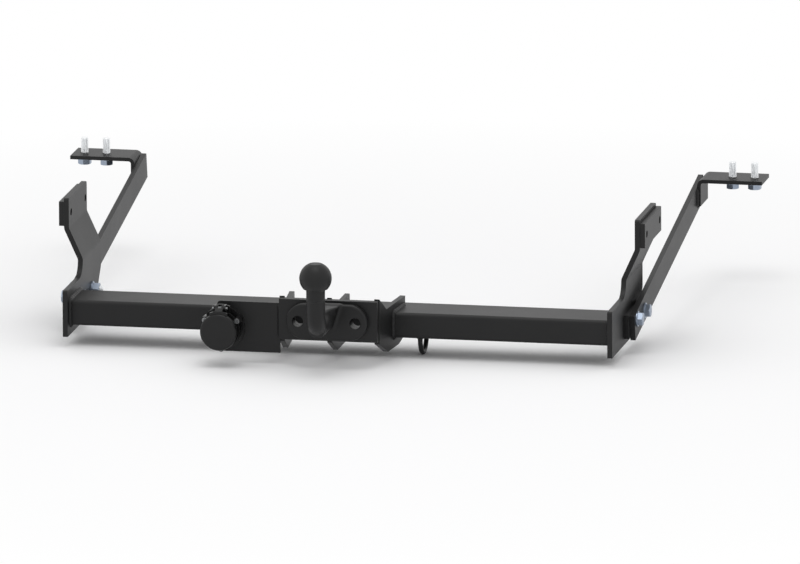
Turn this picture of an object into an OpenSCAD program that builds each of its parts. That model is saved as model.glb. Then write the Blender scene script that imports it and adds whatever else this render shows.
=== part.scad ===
// Car tow bar with a forged two-hole flange ball, a trailer socket on a side
// plate, a breakaway eyelet and a pair of struts with bolt-up chassis brackets.
// X runs across the car, Y runs forwards under the car and Z is up. The origin
// is the centre of the coupling ball, so -Y points at the trailer.

/* [Coupling ball] */
// Diameter of the coupling ball
ball_d = 50; // [49:0.5:51]
// Distance of the ball's centre behind the cross beam's near face
ball_reach = 172.5; // [165:0.5:200]
// Height of the ball's centre above the beam's underside
ball_rise = 129; // [120:1:160]
// Height of the ball's flat top above its centre
ball_flat = 23; // [22:0.5:24]
// Depth below the ball's centre at which the sphere gives way to the neck
ball_cut = 16.5; // [14:0.5:19]
// Width of the edge that the cutter leaves under the ball
ball_edge = 0.4; // [0.2:0.1:0.6]
// Diameter of the neck and of the bent shank
shank_d = 29; // [26:0.5:31]
// Bend radius of the shank's centre line
shank_bend = 25; // [18:1:30]
// Height of the shank's horizontal run above the beam's underside
shank_z = 48; // [44:1:52]
// Height of the shoulder ring on the neck
collar_h = 2; // [1:0.5:4]
// Depth of the shoulder ring's upper edge below the ball's centre
collar_drop = 33; // [30:1:36]
// How far the shoulder ring stands out of the neck
collar_out = 1; // [0.5:0.25:2]

/* [Ball flange] */
// Width of the flange that the ball stands on
flange_w = 127; // [120:1:135]
// Height of the flange
flange_h = 56; // [54:0.5:60]
// Thickness of the flange
flange_t = 13; // [10:0.5:20]
// Rounding of the forged flange's outer edge
flange_round = 3; // [1:0.5:5]
// Distance between the two flange holes
flange_pitch = 90; // [88:1:92]
// Diameter of the flange holes
flange_hole_d = 17; // [15:0.5:18]
// Height of the flange holes above the beam's underside
flange_z = 42; // [41:0.5:46]
// Height of the web's top above the beam's underside
web_top = 69.5; // [66:0.5:70]
// Thickness of the web beside the shank
web_t = 26; // [22:1:28]
// Width of the web where its top meets the flange
web_root_w = 42; // [36:1:46]
// Width of the web where its foot meets the flange
web_foot_w = 18; // [17:1:22]
// Depth by which the web's foot lies inside the shank
web_sink = 0.5; // [0.3:0.1:1]

/* [Front plate] */
// Width of the plate that the ball flange stands on
front_w = 154; // [150:1:160]
// Thickness of the front plate
front_t = 12; // [8:1:15]
// Height of the front plate's lower edge above the beam's underside
front_bottom = 10; // [6:0.5:14]
// Height of the front plate's upper edge above the beam's underside
front_top = 74; // [73:0.5:80]

/* [Cross beam] */
// Length of the cross beam between the end plates
beam_len = 848; // [700:2:1000]
// Depth of the beam's section along the car
beam_depth = 80; // [75:1:90]
// Height of the beam's section
beam_h = 40; // [38:1:44]
// Wall of the beam's tube
beam_wall = 4; // [2.5:0.5:5]
// Outer corner radius of the beam's tube
beam_r = 6; // [5.5:0.5:8]

/* [Gussets] */
// Thickness of each gusset
gusset_t = 8; // [6:1:10]
// How far a side gusset's outer face stands past the front plate's edge
gusset_past = 1.4; // [0.2:0.1:3]
// Angle by which the side gussets splay outwards
gusset_splay = 5.4; // [3:0.1:6]
// Reach of the gussets ahead of the beam's near face
gusset_reach = 70; // [66:1:80]
// Height of the gussets' straight top edge above the beam
gusset_top = 13; // [10:1:18]
// Length of the gussets' top edge along the beam
gusset_back = 65; // [50:1:70]
// Depth of the gussets' lower edge under the beam
gusset_drop = 16; // [12:1:20]
// Length of the gussets' lower arm along the beam
gusset_foot = 52; // [40:1:60]
// How far the gussets' top corners stand above the front plate
gusset_proud = 2; // [0.5:0.5:4]
// How far the gussets' front corners reach under the front plate
gusset_below = 5; // [2:0.5:6]
// Distance from the beam's near face to the foot of the gussets' upper slope
gusset_slope = 33; // [28:1:45]
// Distance from the beam's near face to the foot of the gussets' lower slope
gusset_belly = 26; // [20:1:40]
// Length of the slanting toe at the far end of a gusset's lower arm
gusset_toe = 20; // [10:1:30]
// Height by which that toe rises
gusset_toe_rise = 5.5; // [3:0.5:9]

/* [End plates] */
// Thickness of the end plates
plate_t = 8; // [6:1:10]
// Distance by which an end plate stands out in front of the beam
plate_front = 16; // [12:1:24]
// Depth of an end plate's lower edge under the beam
plate_drop = 15; // [10:1:20]
// Height of the end plate's shoulder above the beam's underside
plate_shoulder = 58; // [54:1:64]
// Radius of the hollow between the shoulder and the neck
plate_hollow = 25; // [15:1:30]
// Place along the car of the neck's front edge
neck_y = 97; // [90:1:100]
// Place along the car of the plate's far edge
plate_back = 228; // [226:1:240]
// Corner radius of the end plates
plate_r = 4; // [2:0.5:6]
// Height above the beam's underside at which the far edge starts to slant
plate_slant_z = 45; // [40:1:60]
// Length along the car of the slanting edge
plate_slant = 52; // [40:1:70]
// Height of the head's top above the beam's underside
head_top = 178.5; // [176:0.5:190]
// Distance that the head is joggled outwards
joggle_out = 21.5; // [15:0.5:26]
// Angle of the joggle's sloping part
joggle_angle = 24.5; // [20:0.5:35]
// Height at which the joggle's lower bend begins
joggle_z = 81; // [76:0.5:84]
// Inner radius of the joggle's bends
joggle_r = 8; // [5:1:10]
// Distance between the two head holes
head_pitch = 103; // [96:1:105]
// Diameter of the head holes
head_hole_d = 11; // [9:0.5:13]
// Place along the car of the near head hole
head_hole_y = 114; // [112:1:116]
// Height of the head holes above the beam's underside
head_hole_z = 153.7; // [150:0.1:156]
// Thickness of the backing plates on the heads
backing_t = 8; // [5:1:10]
// Height of the backing plates
backing_h = 38.5; // [30:0.5:40]
// Distance that a backing plate lies ahead of its head
backing_shift = 1; // [0:0.5:2]

/* [Struts] */
// Thickness of the struts
strut_t = 8; // [6:1:10]
// Width of the struts' flat bar
strut_w = 40; // [38:1:45]
// Length of the struts
strut_len = 568; // [450:2:650]
// Angle by which the struts rise
strut_rise = 10.45; // [9:0.05:11]
// Place along the car of the strut's lower near corner
strut_y = 88; // [85:1:90]
// Depth of the strut's lower near corner under the beam's underside
strut_drop = 9; // [7:0.5:11]
// Thickness of the spacers between end plates and struts
spacer_t = 8; // [4:1:12]
// Length of the spacers
spacer_len = 108; // [100:1:120]
// Height of the spacers
spacer_h = 37; // [34:1:40]
// Distance that a spacer's middle lies ahead of the middle of its bolts
spacer_shift = 1; // [0:0.5:3]
// Distance that a spacer's middle lies below its bolts
spacer_low = 9; // [7:0.5:11]
// Place along the car of the near strut bolt
strut_bolt_y = 100; // [99:1:104]
// Distance between a strut's two bolts
strut_bolt_pitch = 60; // [50:1:64]
// Height of the strut bolts above the beam's underside
strut_bolt_z = 22.5; // [20:0.5:24]

/* [Top brackets] */
// Thickness of the bent top brackets
bracket_t = 6; // [5:0.5:8]
// Length of a bracket along the car
bracket_len = 60; // [56:1:80]
// Reach of a bracket outwards from its strut
bracket_reach = 103; // [92:1:130]
// Height of a bracket from the foot of its leg to its top
bracket_h = 43; // [36:1:44]
// Inner bend radius of a bracket
bracket_r = 4; // [2:0.5:6]
// Height of a bracket's top above its strut's far upper corner
bracket_rise = 3.5; // [0:0.5:8]
// Distance from a bracket's near edge to its strut's far upper corner
bracket_setback = 52; // [48:1:58]
// Distance between the two chassis bolts of a bracket
stud_pitch = 35; // [30:1:40]
// Distance from the outer chassis bolt to the bracket's outer edge
stud_edge = 17; // [14:1:20]

/* [Bolts] */
// Thread diameter of the strut and chassis bolts
bolt_d = 12; // [10:1:12]
// How much thinner a bolt's plain shank is than its thread
shank_relief = 1.1; // [0.8:0.1:1.3]
// Diameter of the clearance holes for those bolts
bolt_hole_d = 13; // [12.5:0.5:14]
// Width across flats of the bolt heads and nuts
bolt_af = 19; // [17:1:19]
// Height of the bolt heads
bolt_head_h = 7.5; // [6:0.5:8]
// Height of the nuts
bolt_nut_h = 10; // [8:0.5:11]
// Length of the strut bolts under the head
strut_bolt_len = 45; // [45:1:60]
// Length of the strut bolts' plain shank
strut_bolt_plain = 15; // [10:1:20]
// Length of the chassis bolts under the head
stud_len = 35; // [30:1:50]
// Outer diameter of the flat washers
washer_d = 24; // [22:1:26]
// Thickness of the flat and of the spring washers
washer_t = 2.5; // [2:0.5:3]
// Outer diameter of the spring washers
spring_washer_d = 21; // [18:0.5:22]
// Angle of the gap in a spring washer
spring_washer_gap = 12; // [6:1:20]

/* [Socket plate] */
// Thickness of the sheet that carries the socket
sheet_t = 4; // [3:0.5:5]
// Distance from the middle of the bar to the socket's axis
socket_x = 165.5; // [155:0.5:175]
// Height of the socket's axis above the beam's underside
socket_z = 24.5; // [22:0.5:28]
// Distance that the sheet's straight part runs past the socket's axis
sheet_past = 10; // [6:1:16]
// Depth of the sheet's lower edge under the beam's underside
sheet_drop = 13.3; // [12:0.1:15]
// Height of the sheet's upper edge above the beam's underside
sheet_top = 65.4; // [64:0.1:68]
// Corner radius of the sheet
sheet_r = 5; // [3:0.5:8]
// Radius of the sheet's round ear, of the gasket and of the socket's foot
socket_foot_r = 33; // [33:0.5:35]

/* [Socket] */
// Radius of the socket's body
socket_r = 25; // [25:0.5:26]
// Radius of the socket's mouth and of its contact chamber
mouth_r = 21; // [19:0.5:22]
// Thickness of the gasket under the socket
gasket_t = 2; // [1:0.5:3]
// Thickness of the socket's foot
foot_t = 4; // [3:0.5:6]
// Distance from the sheet to the front of the rim
rim_front = 22; // [20:0.5:22.5]
// Thickness of the rim round the body
rim_t = 6; // [4:0.5:8]
// Radius of the rim and of the lid
lid_r = 28.8; // [28:0.2:30]
// Distance from the sheet to the socket's mouth
mouth_front = 36; // [35:0.5:40]
// Thickness of the lid
lid_t = 7.7; // [7:0.1:10]
// Width and depth of the lid's bevel
lid_bevel = 4; // [2:0.5:4]
// Distance from the sheet to the contact insert's face
insert_front = 20; // [18:0.5:22]
// Thickness of the contact insert
insert_t = 10; // [8:1:12]
// Diameter of a contact pin
contact_d = 5; // [3:0.5:5]
// Distance that the contacts stand out of the insert
contact_out = 10; // [6:1:11]
// Radius of the circle of the outer contacts
contact_ring_r = 13; // [11:0.5:14]
// Number of contacts on the ring
contact_count = 6; // [5:1:7]
// Height of the bevel at a contact's tip
contact_tip = 1; // [0.5:0.25:1.5]
// Width of the ledge that the contact insert sits on
insert_ledge = 3; // [2:0.5:5]
// Radius of the circle of the socket's screws
screw_ring_r = 29; // [28.5:0.5:30]
// Diameter of the socket's screws
screw_d = 5; // [4:0.5:5]
// Diameter of the screws' heads
screw_head_d = 8.2; // [7:0.1:9]
// Height of the screws' heads
screw_head_h = 2.6; // [2:0.1:3.5]
// Clearance round the screws, on the diameter
screw_gap = 0.5; // [0.3:0.1:0.8]
// Clearance round the screws' heads, on the diameter
head_gap = 0.6; // [0.3:0.1:1]
// Width of the slots in the screws' heads
slot_w = 1; // [0.8:0.1:1.2]
// Angle at which the screws came to rest
slot_turn = 20; // [0:5:40]
// Width across flats of the screws' nuts
screw_nut_af = 8; // [8:0.5:9]
// Height of the screws' nuts
screw_nut_h = 4; // [3:0.5:4.5]
// Diameter of the bosses round the screws
boss_d = 11; // [9:0.5:12]
// Depth of the pocket in a boss that the screw's head sits in
boss_pocket = 0.6; // [0.3:0.1:1.5]
// How far the bosses end behind the front of the rim
boss_step = 0.4; // [0.2:0.1:1]

// Thickness of the seal in the lid
seal_t = 3; // [2:0.5:3.5]
// How far the seal reaches past the socket's body
seal_out = 1; // [0.5:0.25:2]
// How far the seal reaches in over the mouth
seal_in = 2; // [1:0.5:4]

/* [Cable gland] */
// Diameter of the hole that a cable leaves through
cable_d = 9; // [7:0.5:10]
// Distance from the sheet's near face to the gland's far end
gland_len = 30; // [26:1:34]
// Diameter of the gland's far end
gland_end_d = 18; // [14:1:22]
// Length of the gland's straight far end
gland_end_len = 8; // [6:1:12]
// How far the gland's lip stands out behind the sheet
gland_lip = 2; // [1:0.5:3]
// Thickness of that lip
gland_lip_t = 3; // [2:0.5:4]

/* [Lid hinge] */
// Diameter of the hinge pin
pin_d = 4; // [3:0.5:4]
// Length of the hinge pin
pin_len = 24; // [22:1:28]
// Height of the pin above the socket's axis
pin_z = 35; // [34.5:0.5:37]
// Distance from the sheet to the pin
pin_front = 27; // [27:0.5:28.5]
// Radius of the lid's knuckles and of the ears round the pin
knuckle_r = 4.5; // [4:0.25:4.5]
// Width of the lid's hinge arm
arm_w = 12; // [12:1:16]
// Width of each of the arm's two knuckles
knuckle_w = 3; // [2.5:0.25:3]
// Clearance on each side of the arm
side_gap = 0.2; // [0.1:0.05:0.3]
// How far the arm's outline is drawn in round the pin
arm_inset = 1; // [0.5:0.25:1.5]
// Thickness of the housing's ears
ear_t = 2.8; // [2:0.1:3.5]
// How far the lid's tab and the housing's lug stand out past each ear
lug_past = 5; // [3:0.5:7]
// How far the lid's tab stands out past the lid
tab_out = 4; // [3:0.5:4.5]
// Thickness of the lid's tab
tab_t = 4; // [3:0.5:5]
// Wire diameter of the lid's spring
wire_d = 0.9; // [0.6:0.1:1]
// Number of curls in the lid's spring
spring_curls = 3; // [2:1:3]

/* [Eyelet] */
// Diameter of the eyelet's rod
eyelet_d = 7.5; // [6:0.5:10]
// Radius of the eyelet's bend at the rod's centre
eyelet_r = 24; // [16:1:28]
// Length of the eyelet's straight legs
eyelet_leg = 4.5; // [4:0.5:20]
// Distance from the middle of the bar to the eyelet
eyelet_x = 124.5; // [110:0.5:200]

/* [Welds and fits] */
// Leg of the main fillet welds
weld = 4; // [3:0.5:5]
// Distance that the welds stop short of the edges of the pieces
weld_stop = 2; // [1:0.5:4]
// Leg of the welds round the eyelet's rod
eyelet_weld = 3; // [2:0.5:3.5]
// Radial clearance of a pin or a thread in its hole
fit = 0.05; // [0.02:0.01:0.1]
// Clearance between the lid and what it closes on
lid_gap = 0.3; // [0.2:0.05:0.5]

/* [Hidden] */
$fn = 64;
eps = 1;
beam_end = beam_len / 2;
spacer_x = beam_end + plate_t;
strut_x = spacer_x + spacer_t;
strut_face = strut_x + strut_t;
head_face = beam_end + joggle_out + plate_t;
front_face = -gusset_reach - front_t;
flange_face = front_face - flange_t;
sheet_face = -gusset_reach - sheet_t;
gusset_x = front_w / 2 + gusset_past + gusset_reach * tan(gusset_splay);
bend_y = -ball_reach + shank_bend;
bend_z = shank_z + shank_bend;
web_foot = shank_z - sqrt(pow(shank_d / 2, 2) - pow(web_foot_w / 2, 2)) + web_sink;
strut_end = [strut_y, -strut_drop] + [strut_len * cos(strut_rise) - strut_w * sin(strut_rise),
                                      strut_len * sin(strut_rise) + strut_w * cos(strut_rise)];
bracket_y = strut_end.x - bracket_setback;
bracket_top = strut_end.y + bracket_rise;
stud_y = bracket_y + bracket_len / 2;
stud_x = [strut_face + bracket_reach - stud_edge - stud_pitch, strut_face + bracket_reach - stud_edge];
strut_bolts_y = [strut_bolt_y, strut_bolt_y + strut_bolt_pitch];
spacer_y = strut_bolt_y + strut_bolt_pitch / 2 - spacer_len / 2 + spacer_shift;
spacer_z = strut_bolt_z - spacer_low - spacer_h / 2;
screw_angles = [30, 150, 270];
lid_back = mouth_front + lid_gap;
boss_front = rim_front - boss_step;
screw_seat = boss_front - boss_pocket;
ear_x = arm_w / 2 + side_gap;
lug_r = pin_z + knuckle_r;
lug_w = 2 * (ear_x + ear_t + lug_past);
tab_r = lid_r + tab_out;
seal_r = socket_r + seal_out - fit;
screw_hole_d = screw_d + screw_gap;
thread_fit = bolt_d + 2 * fit;
steel = "#2b2c2e";
zinc = "#b9c0c8";
plastic = "#1d1d1f";
rubber = "#141415";

// Points along an arc round c, from angle a0 to angle a1
function arc(c, r, a0, a1, n = 8) =
    [for (i = [0:n]) c + r * [cos(a0 + (a1 - a0) * i / n), sin(a0 + (a1 - a0) * i / n)]];

// Moves from the beam's frame, whose origin is the middle of its near lower edge
module from_beam() translate([0, ball_reach, -ball_rise]) children();

// A mirrored copy for the left, the shape itself for the right
module on_side(side) mirror([side < 0 ? 1 : 0, 0, 0]) children();

module both_sides() {
    for (side = [-1, 1])
        on_side(side) children();
}

// A drawing whose axes are Y and Z, drawn out along +X
module along_x(len) rotate([90, 0, 90]) linear_extrude(len) children();

// A drawing whose axes are X and Z, drawn out along +Y
module along_y(len) mirror([0, 1, 0]) rotate([90, 0, 0]) linear_extrude(len) children();

module rod_x(d, len) rotate([0, 90, 0]) cylinder(d = d, h = len);

module rod_y(d, len) rotate([-90, 0, 0]) cylinder(d = d, h = len);

// Rectangle with round corners, centred
module rounded_rect(w, h, r) {
    square([w - 2 * r, h], center = true);
    square([w, h - 2 * r], center = true);
    for (x = [-1, 1], y = [-1, 1])
        translate([x * (w / 2 - r), y * (h / 2 - r)])
            circle(r);
}

// Hexagonal head or nut along +Z with its outer corners turned off at the top
module hexagon(af, h) {
    across = af / cos(30);
    intersection() {
        cylinder(d = across, h = h, $fn = 6);
        rotate_extrude()
            polygon([[0, 0], [across / 2 + eps, 0], [across / 2 + eps, h - (across - af) / 4 - eps / 2],
                     [af / 2, h], [0, h]]);
    }
}

// Bolt whose head lies below the origin and whose shank runs along +Z: plain
// and thinner first, then at the full diameter of its thread
module hex_bolt(len, plain) {
    cylinder(d = bolt_d - shank_relief, h = plain);
    translate([0, 0, plain]) cylinder(d = bolt_d, h = len - plain);
    mirror([0, 0, 1]) hexagon(bolt_af, bolt_head_h);
}

module hex_nut(af, h, hole) {
    difference() {
        hexagon(af, h);
        translate([0, 0, -eps]) cylinder(d = hole, h = h + 2 * eps);
    }
}

module washer(d, hole, h) {
    difference() {
        cylinder(d = d, h = h);
        translate([0, 0, -eps]) cylinder(d = hole, h = h + 2 * eps);
    }
}

module cross_beam() color(steel) from_beam()
    translate([-beam_end, beam_depth / 2, beam_h / 2])
        along_x(beam_len)
            difference() {
                rounded_rect(beam_depth, beam_h, beam_r);
                rounded_rect(beam_depth - 2 * beam_wall, beam_h - 2 * beam_wall, beam_r - beam_wall);
            }

// Side view of an end plate: low foot, hollow shoulder, upright head
module end_plate_outline() {
    polygon(concat(
        [[-plate_front, -plate_drop]],
        arc([-plate_front + plate_r, plate_shoulder - plate_r], plate_r, 180, 90),
        arc([neck_y - plate_hollow, plate_shoulder + plate_hollow], plate_hollow, -90, 0),
        arc([neck_y + plate_r, head_top - plate_r], plate_r, 180, 90),
        arc([plate_back - plate_r, head_top - plate_r], plate_r, 90, 0),
        [[plate_back, plate_slant_z], [plate_back - plate_slant, -plate_drop]]
    ));
}

// End view of an end plate: a strip that bends outwards and upright again
module joggled_strip() {
    outer_r = joggle_r + plate_t;
    run = joggle_out - (joggle_r + outer_r) * (1 - cos(joggle_angle));
    rise = run / tan(joggle_angle) + (joggle_r + outer_r) * sin(joggle_angle);
    low = [beam_end + outer_r, joggle_z];
    high = [beam_end + joggle_out - joggle_r, joggle_z + rise];
    polygon(concat(
        [[beam_end, -plate_drop - eps]],
        arc(low, outer_r, 180, 180 - joggle_angle, 5),
        arc(high, joggle_r, -joggle_angle, 0, 5),
        [[beam_end + joggle_out, head_top + eps], [head_face, head_top + eps]],
        arc(high, outer_r, 0, -joggle_angle, 5),
        arc(low, joggle_r, 180 - joggle_angle, 180, 5),
        [[spacer_x, -plate_drop - eps]]
    ));
}

module strut_bolt_holes() {
    for (y = strut_bolts_y)
        translate([beam_end - eps, y, strut_bolt_z])
            rod_x(bolt_hole_d, strut_face - beam_end + 2 * eps);
}

module head_holes() {
    for (y = [head_hole_y, head_hole_y + head_pitch])
        translate([head_face - plate_t - eps, y, head_hole_z])
            rod_x(head_hole_d, plate_t + backing_t + 2 * eps);
}

module end_plate() color(steel) from_beam()
    difference() {
        intersection() {
            translate([0, -plate_front - eps, 0])
                along_y(plate_front + plate_back + 2 * eps) joggled_strip();
            translate([beam_end - eps, 0, 0])
                along_x(joggle_out + plate_t + 2 * eps) end_plate_outline();
        }
        strut_bolt_holes();
        head_holes();
    }

module backing_plate() color(steel) from_beam()
    difference() {
        translate([head_face, neck_y + backing_shift, head_hole_z - backing_h / 2])
            cube([backing_t, plate_back - neck_y, backing_h]);
        head_holes();
    }

module spacer() color(steel) from_beam()
    difference() {
        translate([spacer_x, spacer_y, spacer_z]) cube([spacer_t, spacer_len, spacer_h]);
        strut_bolt_holes();
    }

module strut() color(steel) from_beam()
    difference() {
        translate([strut_x, strut_y, -strut_drop])
            rotate([strut_rise, 0, 0])
                cube([strut_t, strut_len, strut_w]);
        strut_bolt_holes();
    }

// Places its child at each strut bolt, on the strut's outer face, +Z inwards
module at_strut_bolts() from_beam()
    both_sides()
        for (y = strut_bolts_y)
            translate([strut_face, y, strut_bolt_z])
                rotate([0, -90, 0])
                    children();

module strut_bolts() color(zinc) at_strut_bolts()
    translate([0, 0, -washer_t]) hex_bolt(strut_bolt_len, strut_bolt_plain);

module strut_washers() color(zinc) at_strut_bolts() {
    translate([0, 0, -washer_t]) washer(washer_d, bolt_hole_d, washer_t);
    translate([0, 0, strut_face - beam_end]) washer(washer_d, bolt_hole_d, washer_t);
}

module strut_nuts() color(zinc) at_strut_bolts()
    translate([0, 0, strut_face - beam_end + washer_t])
        hex_nut(bolt_af, bolt_nut_h, thread_fit);

// Places its child at each chassis bolt, under the bracket, +Z up
module at_studs() from_beam()
    both_sides()
        for (x = stud_x)
            translate([x, stud_y, bracket_top - bracket_t])
                children();

// End view of a top bracket, with its leg on the strut and its flange outwards
module bracket_section() {
    outer_r = bracket_r + bracket_t;
    centre = [strut_face + outer_r, bracket_top - outer_r];
    foot = bracket_top - bracket_h;
    tip = strut_face + bracket_reach;
    polygon(concat(
        [[strut_face, foot]],
        arc(centre, outer_r, 180, 90),
        [[tip, bracket_top], [tip, bracket_top - bracket_t]],
        arc(centre, bracket_r, 90, 180),
        [[strut_face + bracket_t, foot]]
    ));
}

module top_bracket() color(steel) from_beam()
    difference() {
        translate([0, bracket_y, 0]) along_y(bracket_len) bracket_section();
        for (x = stud_x)
            translate([x, stud_y, bracket_top - bracket_t - eps])
                cylinder(d = bolt_hole_d, h = bracket_t + 2 * eps);
    }

module chassis_bolts() color(zinc) at_studs()
    translate([0, 0, -2 * washer_t]) hex_bolt(stud_len, 2 * washer_t + bracket_t);

module chassis_washers() color(zinc) at_studs()
    translate([0, 0, -washer_t]) washer(washer_d, bolt_hole_d, washer_t);

// Split rings between the flat washers and the bolt heads
module chassis_spring_washers() color(zinc) at_studs()
    translate([0, 0, -2 * washer_t])
        rotate_extrude(angle = 360 - spring_washer_gap)
            translate([bolt_d / 2 + 2 * fit, 0])
                square([(spring_washer_d - bolt_d) / 2 - 2 * fit, washer_t]);

// Side view of a gusset before the beam is cut out of it
module gusset_outline() {
    past = gusset_reach + gusset_t;
    back_top = beam_h + gusset_top;
    front_corner = front_top + gusset_proud;
    front_foot = front_bottom - gusset_below;
    polygon([
        [-past, front_foot], [-past, front_corner], [-gusset_reach, front_corner],
        [-gusset_slope, back_top], [gusset_back, back_top], [gusset_back, beam_h - eps],
        [beam_depth / 2, beam_h - eps], [beam_depth / 2, eps], [gusset_foot, eps],
        [gusset_foot, -gusset_drop + gusset_toe_rise], [gusset_foot - gusset_toe, -gusset_drop],
        [-gusset_belly, -gusset_drop], [-gusset_reach, front_foot]
    ]);
}

// A gusset whose face lies at x on the beam's near face and that turns by splay
module gusset(x, splay) color(steel) from_beam()
    difference() {
        translate([x, 0, 0])
            rotate([0, 0, -splay])
                translate([-gusset_t, 0, 0])
                    along_x(gusset_t) gusset_outline();
        translate([-beam_end, 0, 0]) cube([beam_len, beam_depth, beam_h]);
        translate([-beam_end, -2 * gusset_reach, -beam_h])
            cube([beam_len, gusset_reach, 4 * beam_h]);
    }

module gusset_side() gusset(gusset_x, gusset_splay);

module gusset_middle() gusset(gusset_t / 2, 0);

module flange_holes(from, to) {
    for (x = [-1, 1])
        translate([x * flange_pitch / 2, from, flange_z])
            rod_y(flange_hole_d, to - from);
}

module front_plate() color(steel) from_beam()
    difference() {
        translate([-front_w / 2, front_face, front_bottom])
            cube([front_w, front_t, front_top - front_bottom]);
        flange_holes(front_face - eps, -gusset_reach + eps);
    }

// Half of the flange's section: its radius from the middle line and its thickness
module flange_half_section() {
    r = flange_h / 2;
    polygon(concat(
        [[0, 0], [r, 0]],
        arc([r - flange_round, flange_t - flange_round], flange_round, 0, 90, 4),
        [[0, flange_t]]
    ));
}

// Pill-shaped flange: a straight middle and two turned ends, with a round edge
module flange_pill() translate([0, front_face, flange_z])
    rotate([90, 0, 0]) {
        straight = (flange_w - flange_h) / 2;
        for (side = [0, 1])
            mirror([side, 0, 0])
                translate([straight, 0, 0])
                    rotate([0, 0, -90])
                        rotate_extrude(angle = 180)
                            flange_half_section();
        for (side = [0, 1])
            mirror([0, side, 0])
                translate([-straight, 0, 0])
                    rotate([90, 0, 90])
                        linear_extrude(2 * straight)
                            flange_half_section();
    }

// Ball with its flat top, over a neck that is drawn in and carries a shoulder ring
module ball_and_neck() translate([0, -ball_reach, ball_rise]) {
    neck_r = shank_d / 2;
    cut_r = sqrt(pow(ball_d / 2, 2) - pow(ball_cut, 2)) - ball_edge;
    foot = bend_z - ball_rise;
    intersection() {
        sphere(d = ball_d);
        translate([0, 0, -ball_cut]) cylinder(d = ball_d + eps, h = ball_cut + ball_flat);
    }
    rotate_extrude()
        polygon(concat(
            [[0, -ball_cut + eps], [neck_r, -ball_cut + eps], [cut_r, -ball_cut]],
            arc([cut_r, -ball_cut - (cut_r - neck_r)], cut_r - neck_r, 90, 180),
            [[neck_r, -collar_drop + collar_out], [neck_r + collar_out, -collar_drop],
             [neck_r + collar_out, -collar_drop - collar_h],
             [neck_r, -collar_drop - collar_h - collar_out],
             [neck_r, foot], [0, foot]]
        ));
}

module shank() {
    translate([0, bend_y, bend_z])
        rotate([90, 0, 90])
            rotate([0, 0, 180])
                rotate_extrude(angle = 90)
                    translate([shank_bend, 0])
                        circle(d = shank_d);
    translate([0, bend_y, shank_z])
        rod_y(shank_d, flange_face - bend_y + eps);
}

// Web in the crook of the shank: flared in plan towards the flange, narrower at
// its foot, and bounded in side view by the shank's centre line
module web() {
    flare = (web_root_w - web_t) / 2;
    intersection() {
        translate([0, 0, web_foot])
            linear_extrude(web_top - web_foot)
                polygon(concat(
                    [[-web_t / 2, -ball_reach], [web_t / 2, -ball_reach]],
                    arc([web_t / 2 + flare, flange_face - flare], flare, 180, 90),
                    [[web_root_w / 2, flange_face + eps], [-web_root_w / 2, flange_face + eps]],
                    arc([-web_t / 2 - flare, flange_face - flare], flare, 90, 0)
                ));
        translate([0, -ball_reach, 0])
            along_y(ball_reach + flange_face + eps)
                polygon([[-web_foot_w / 2, web_foot], [web_foot_w / 2, web_foot],
                         [web_root_w / 2, web_top], [-web_root_w / 2, web_top]]);
        translate([-web_root_w / 2, 0, 0])
            along_x(web_root_w)
                polygon(concat(
                    [[flange_face + eps, web_foot], [bend_y, web_foot]],
                    arc([bend_y, bend_z], shank_bend, 270, 180),
                    [[-ball_reach, bend_z + shank_d], [flange_face + eps, bend_z + shank_d]]
                ));
    }
}

module ball_flange() color(steel) from_beam()
    difference() {
        union() {
            flange_pill();
            ball_and_neck();
            shank();
            web();
        }
        flange_holes(flange_face - eps, front_face + eps);
    }

// Places its child on the socket's axis at the sheet's front, +Z out of the
// socket towards the trailer and +Y up
module at_socket() from_beam()
    translate([-socket_x, sheet_face, socket_z])
        rotate([90, 0, 0])
            children();

module at_screws() {
    for (a = screw_angles)
        rotate([0, 0, a])
            translate([screw_ring_r, 0, 0])
                children();
}

module socket_plate() color(steel) {
    left = -socket_x - sheet_past;
    width = -front_w / 2 - left;
    height = sheet_top + sheet_drop;
    difference() {
        from_beam()
            translate([0, sheet_face, 0])
                along_y(sheet_t) {
                    translate([left + width / 2, sheet_top - height / 2]) rounded_rect(width, height, sheet_r);
                    translate([-front_w / 2 - sheet_r, -sheet_drop]) square([sheet_r, height]);
                    translate([-socket_x, socket_z]) circle(socket_foot_r);
                }
        at_socket() {
            translate([0, 0, -sheet_t - eps]) cylinder(r = mouth_r, h = sheet_t + 2 * eps);
            at_screws()
                translate([0, 0, -sheet_t - eps]) cylinder(d = screw_hole_d, h = sheet_t + 2 * eps);
        }
    }
}

module eyelet() color(steel) from_beam()
    translate([eyelet_x, beam_depth / 2, 0]) {
        translate([0, 0, -eyelet_leg])
            rotate([90, 0, 90])
                rotate([0, 0, 180])
                    rotate_extrude(angle = 180)
                        translate([eyelet_r, 0])
                            circle(d = eyelet_d);
        for (side = [-1, 1])
            translate([0, side * eyelet_r, -eyelet_leg])
                cylinder(d = eyelet_d, h = eyelet_leg);
    }

// Fillet along +Z whose flat legs lie on the planes x = 0 and y = 0
module fillet(len) linear_extrude(len) polygon([[0, 0], [weld, 0], [0, weld]]);

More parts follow.
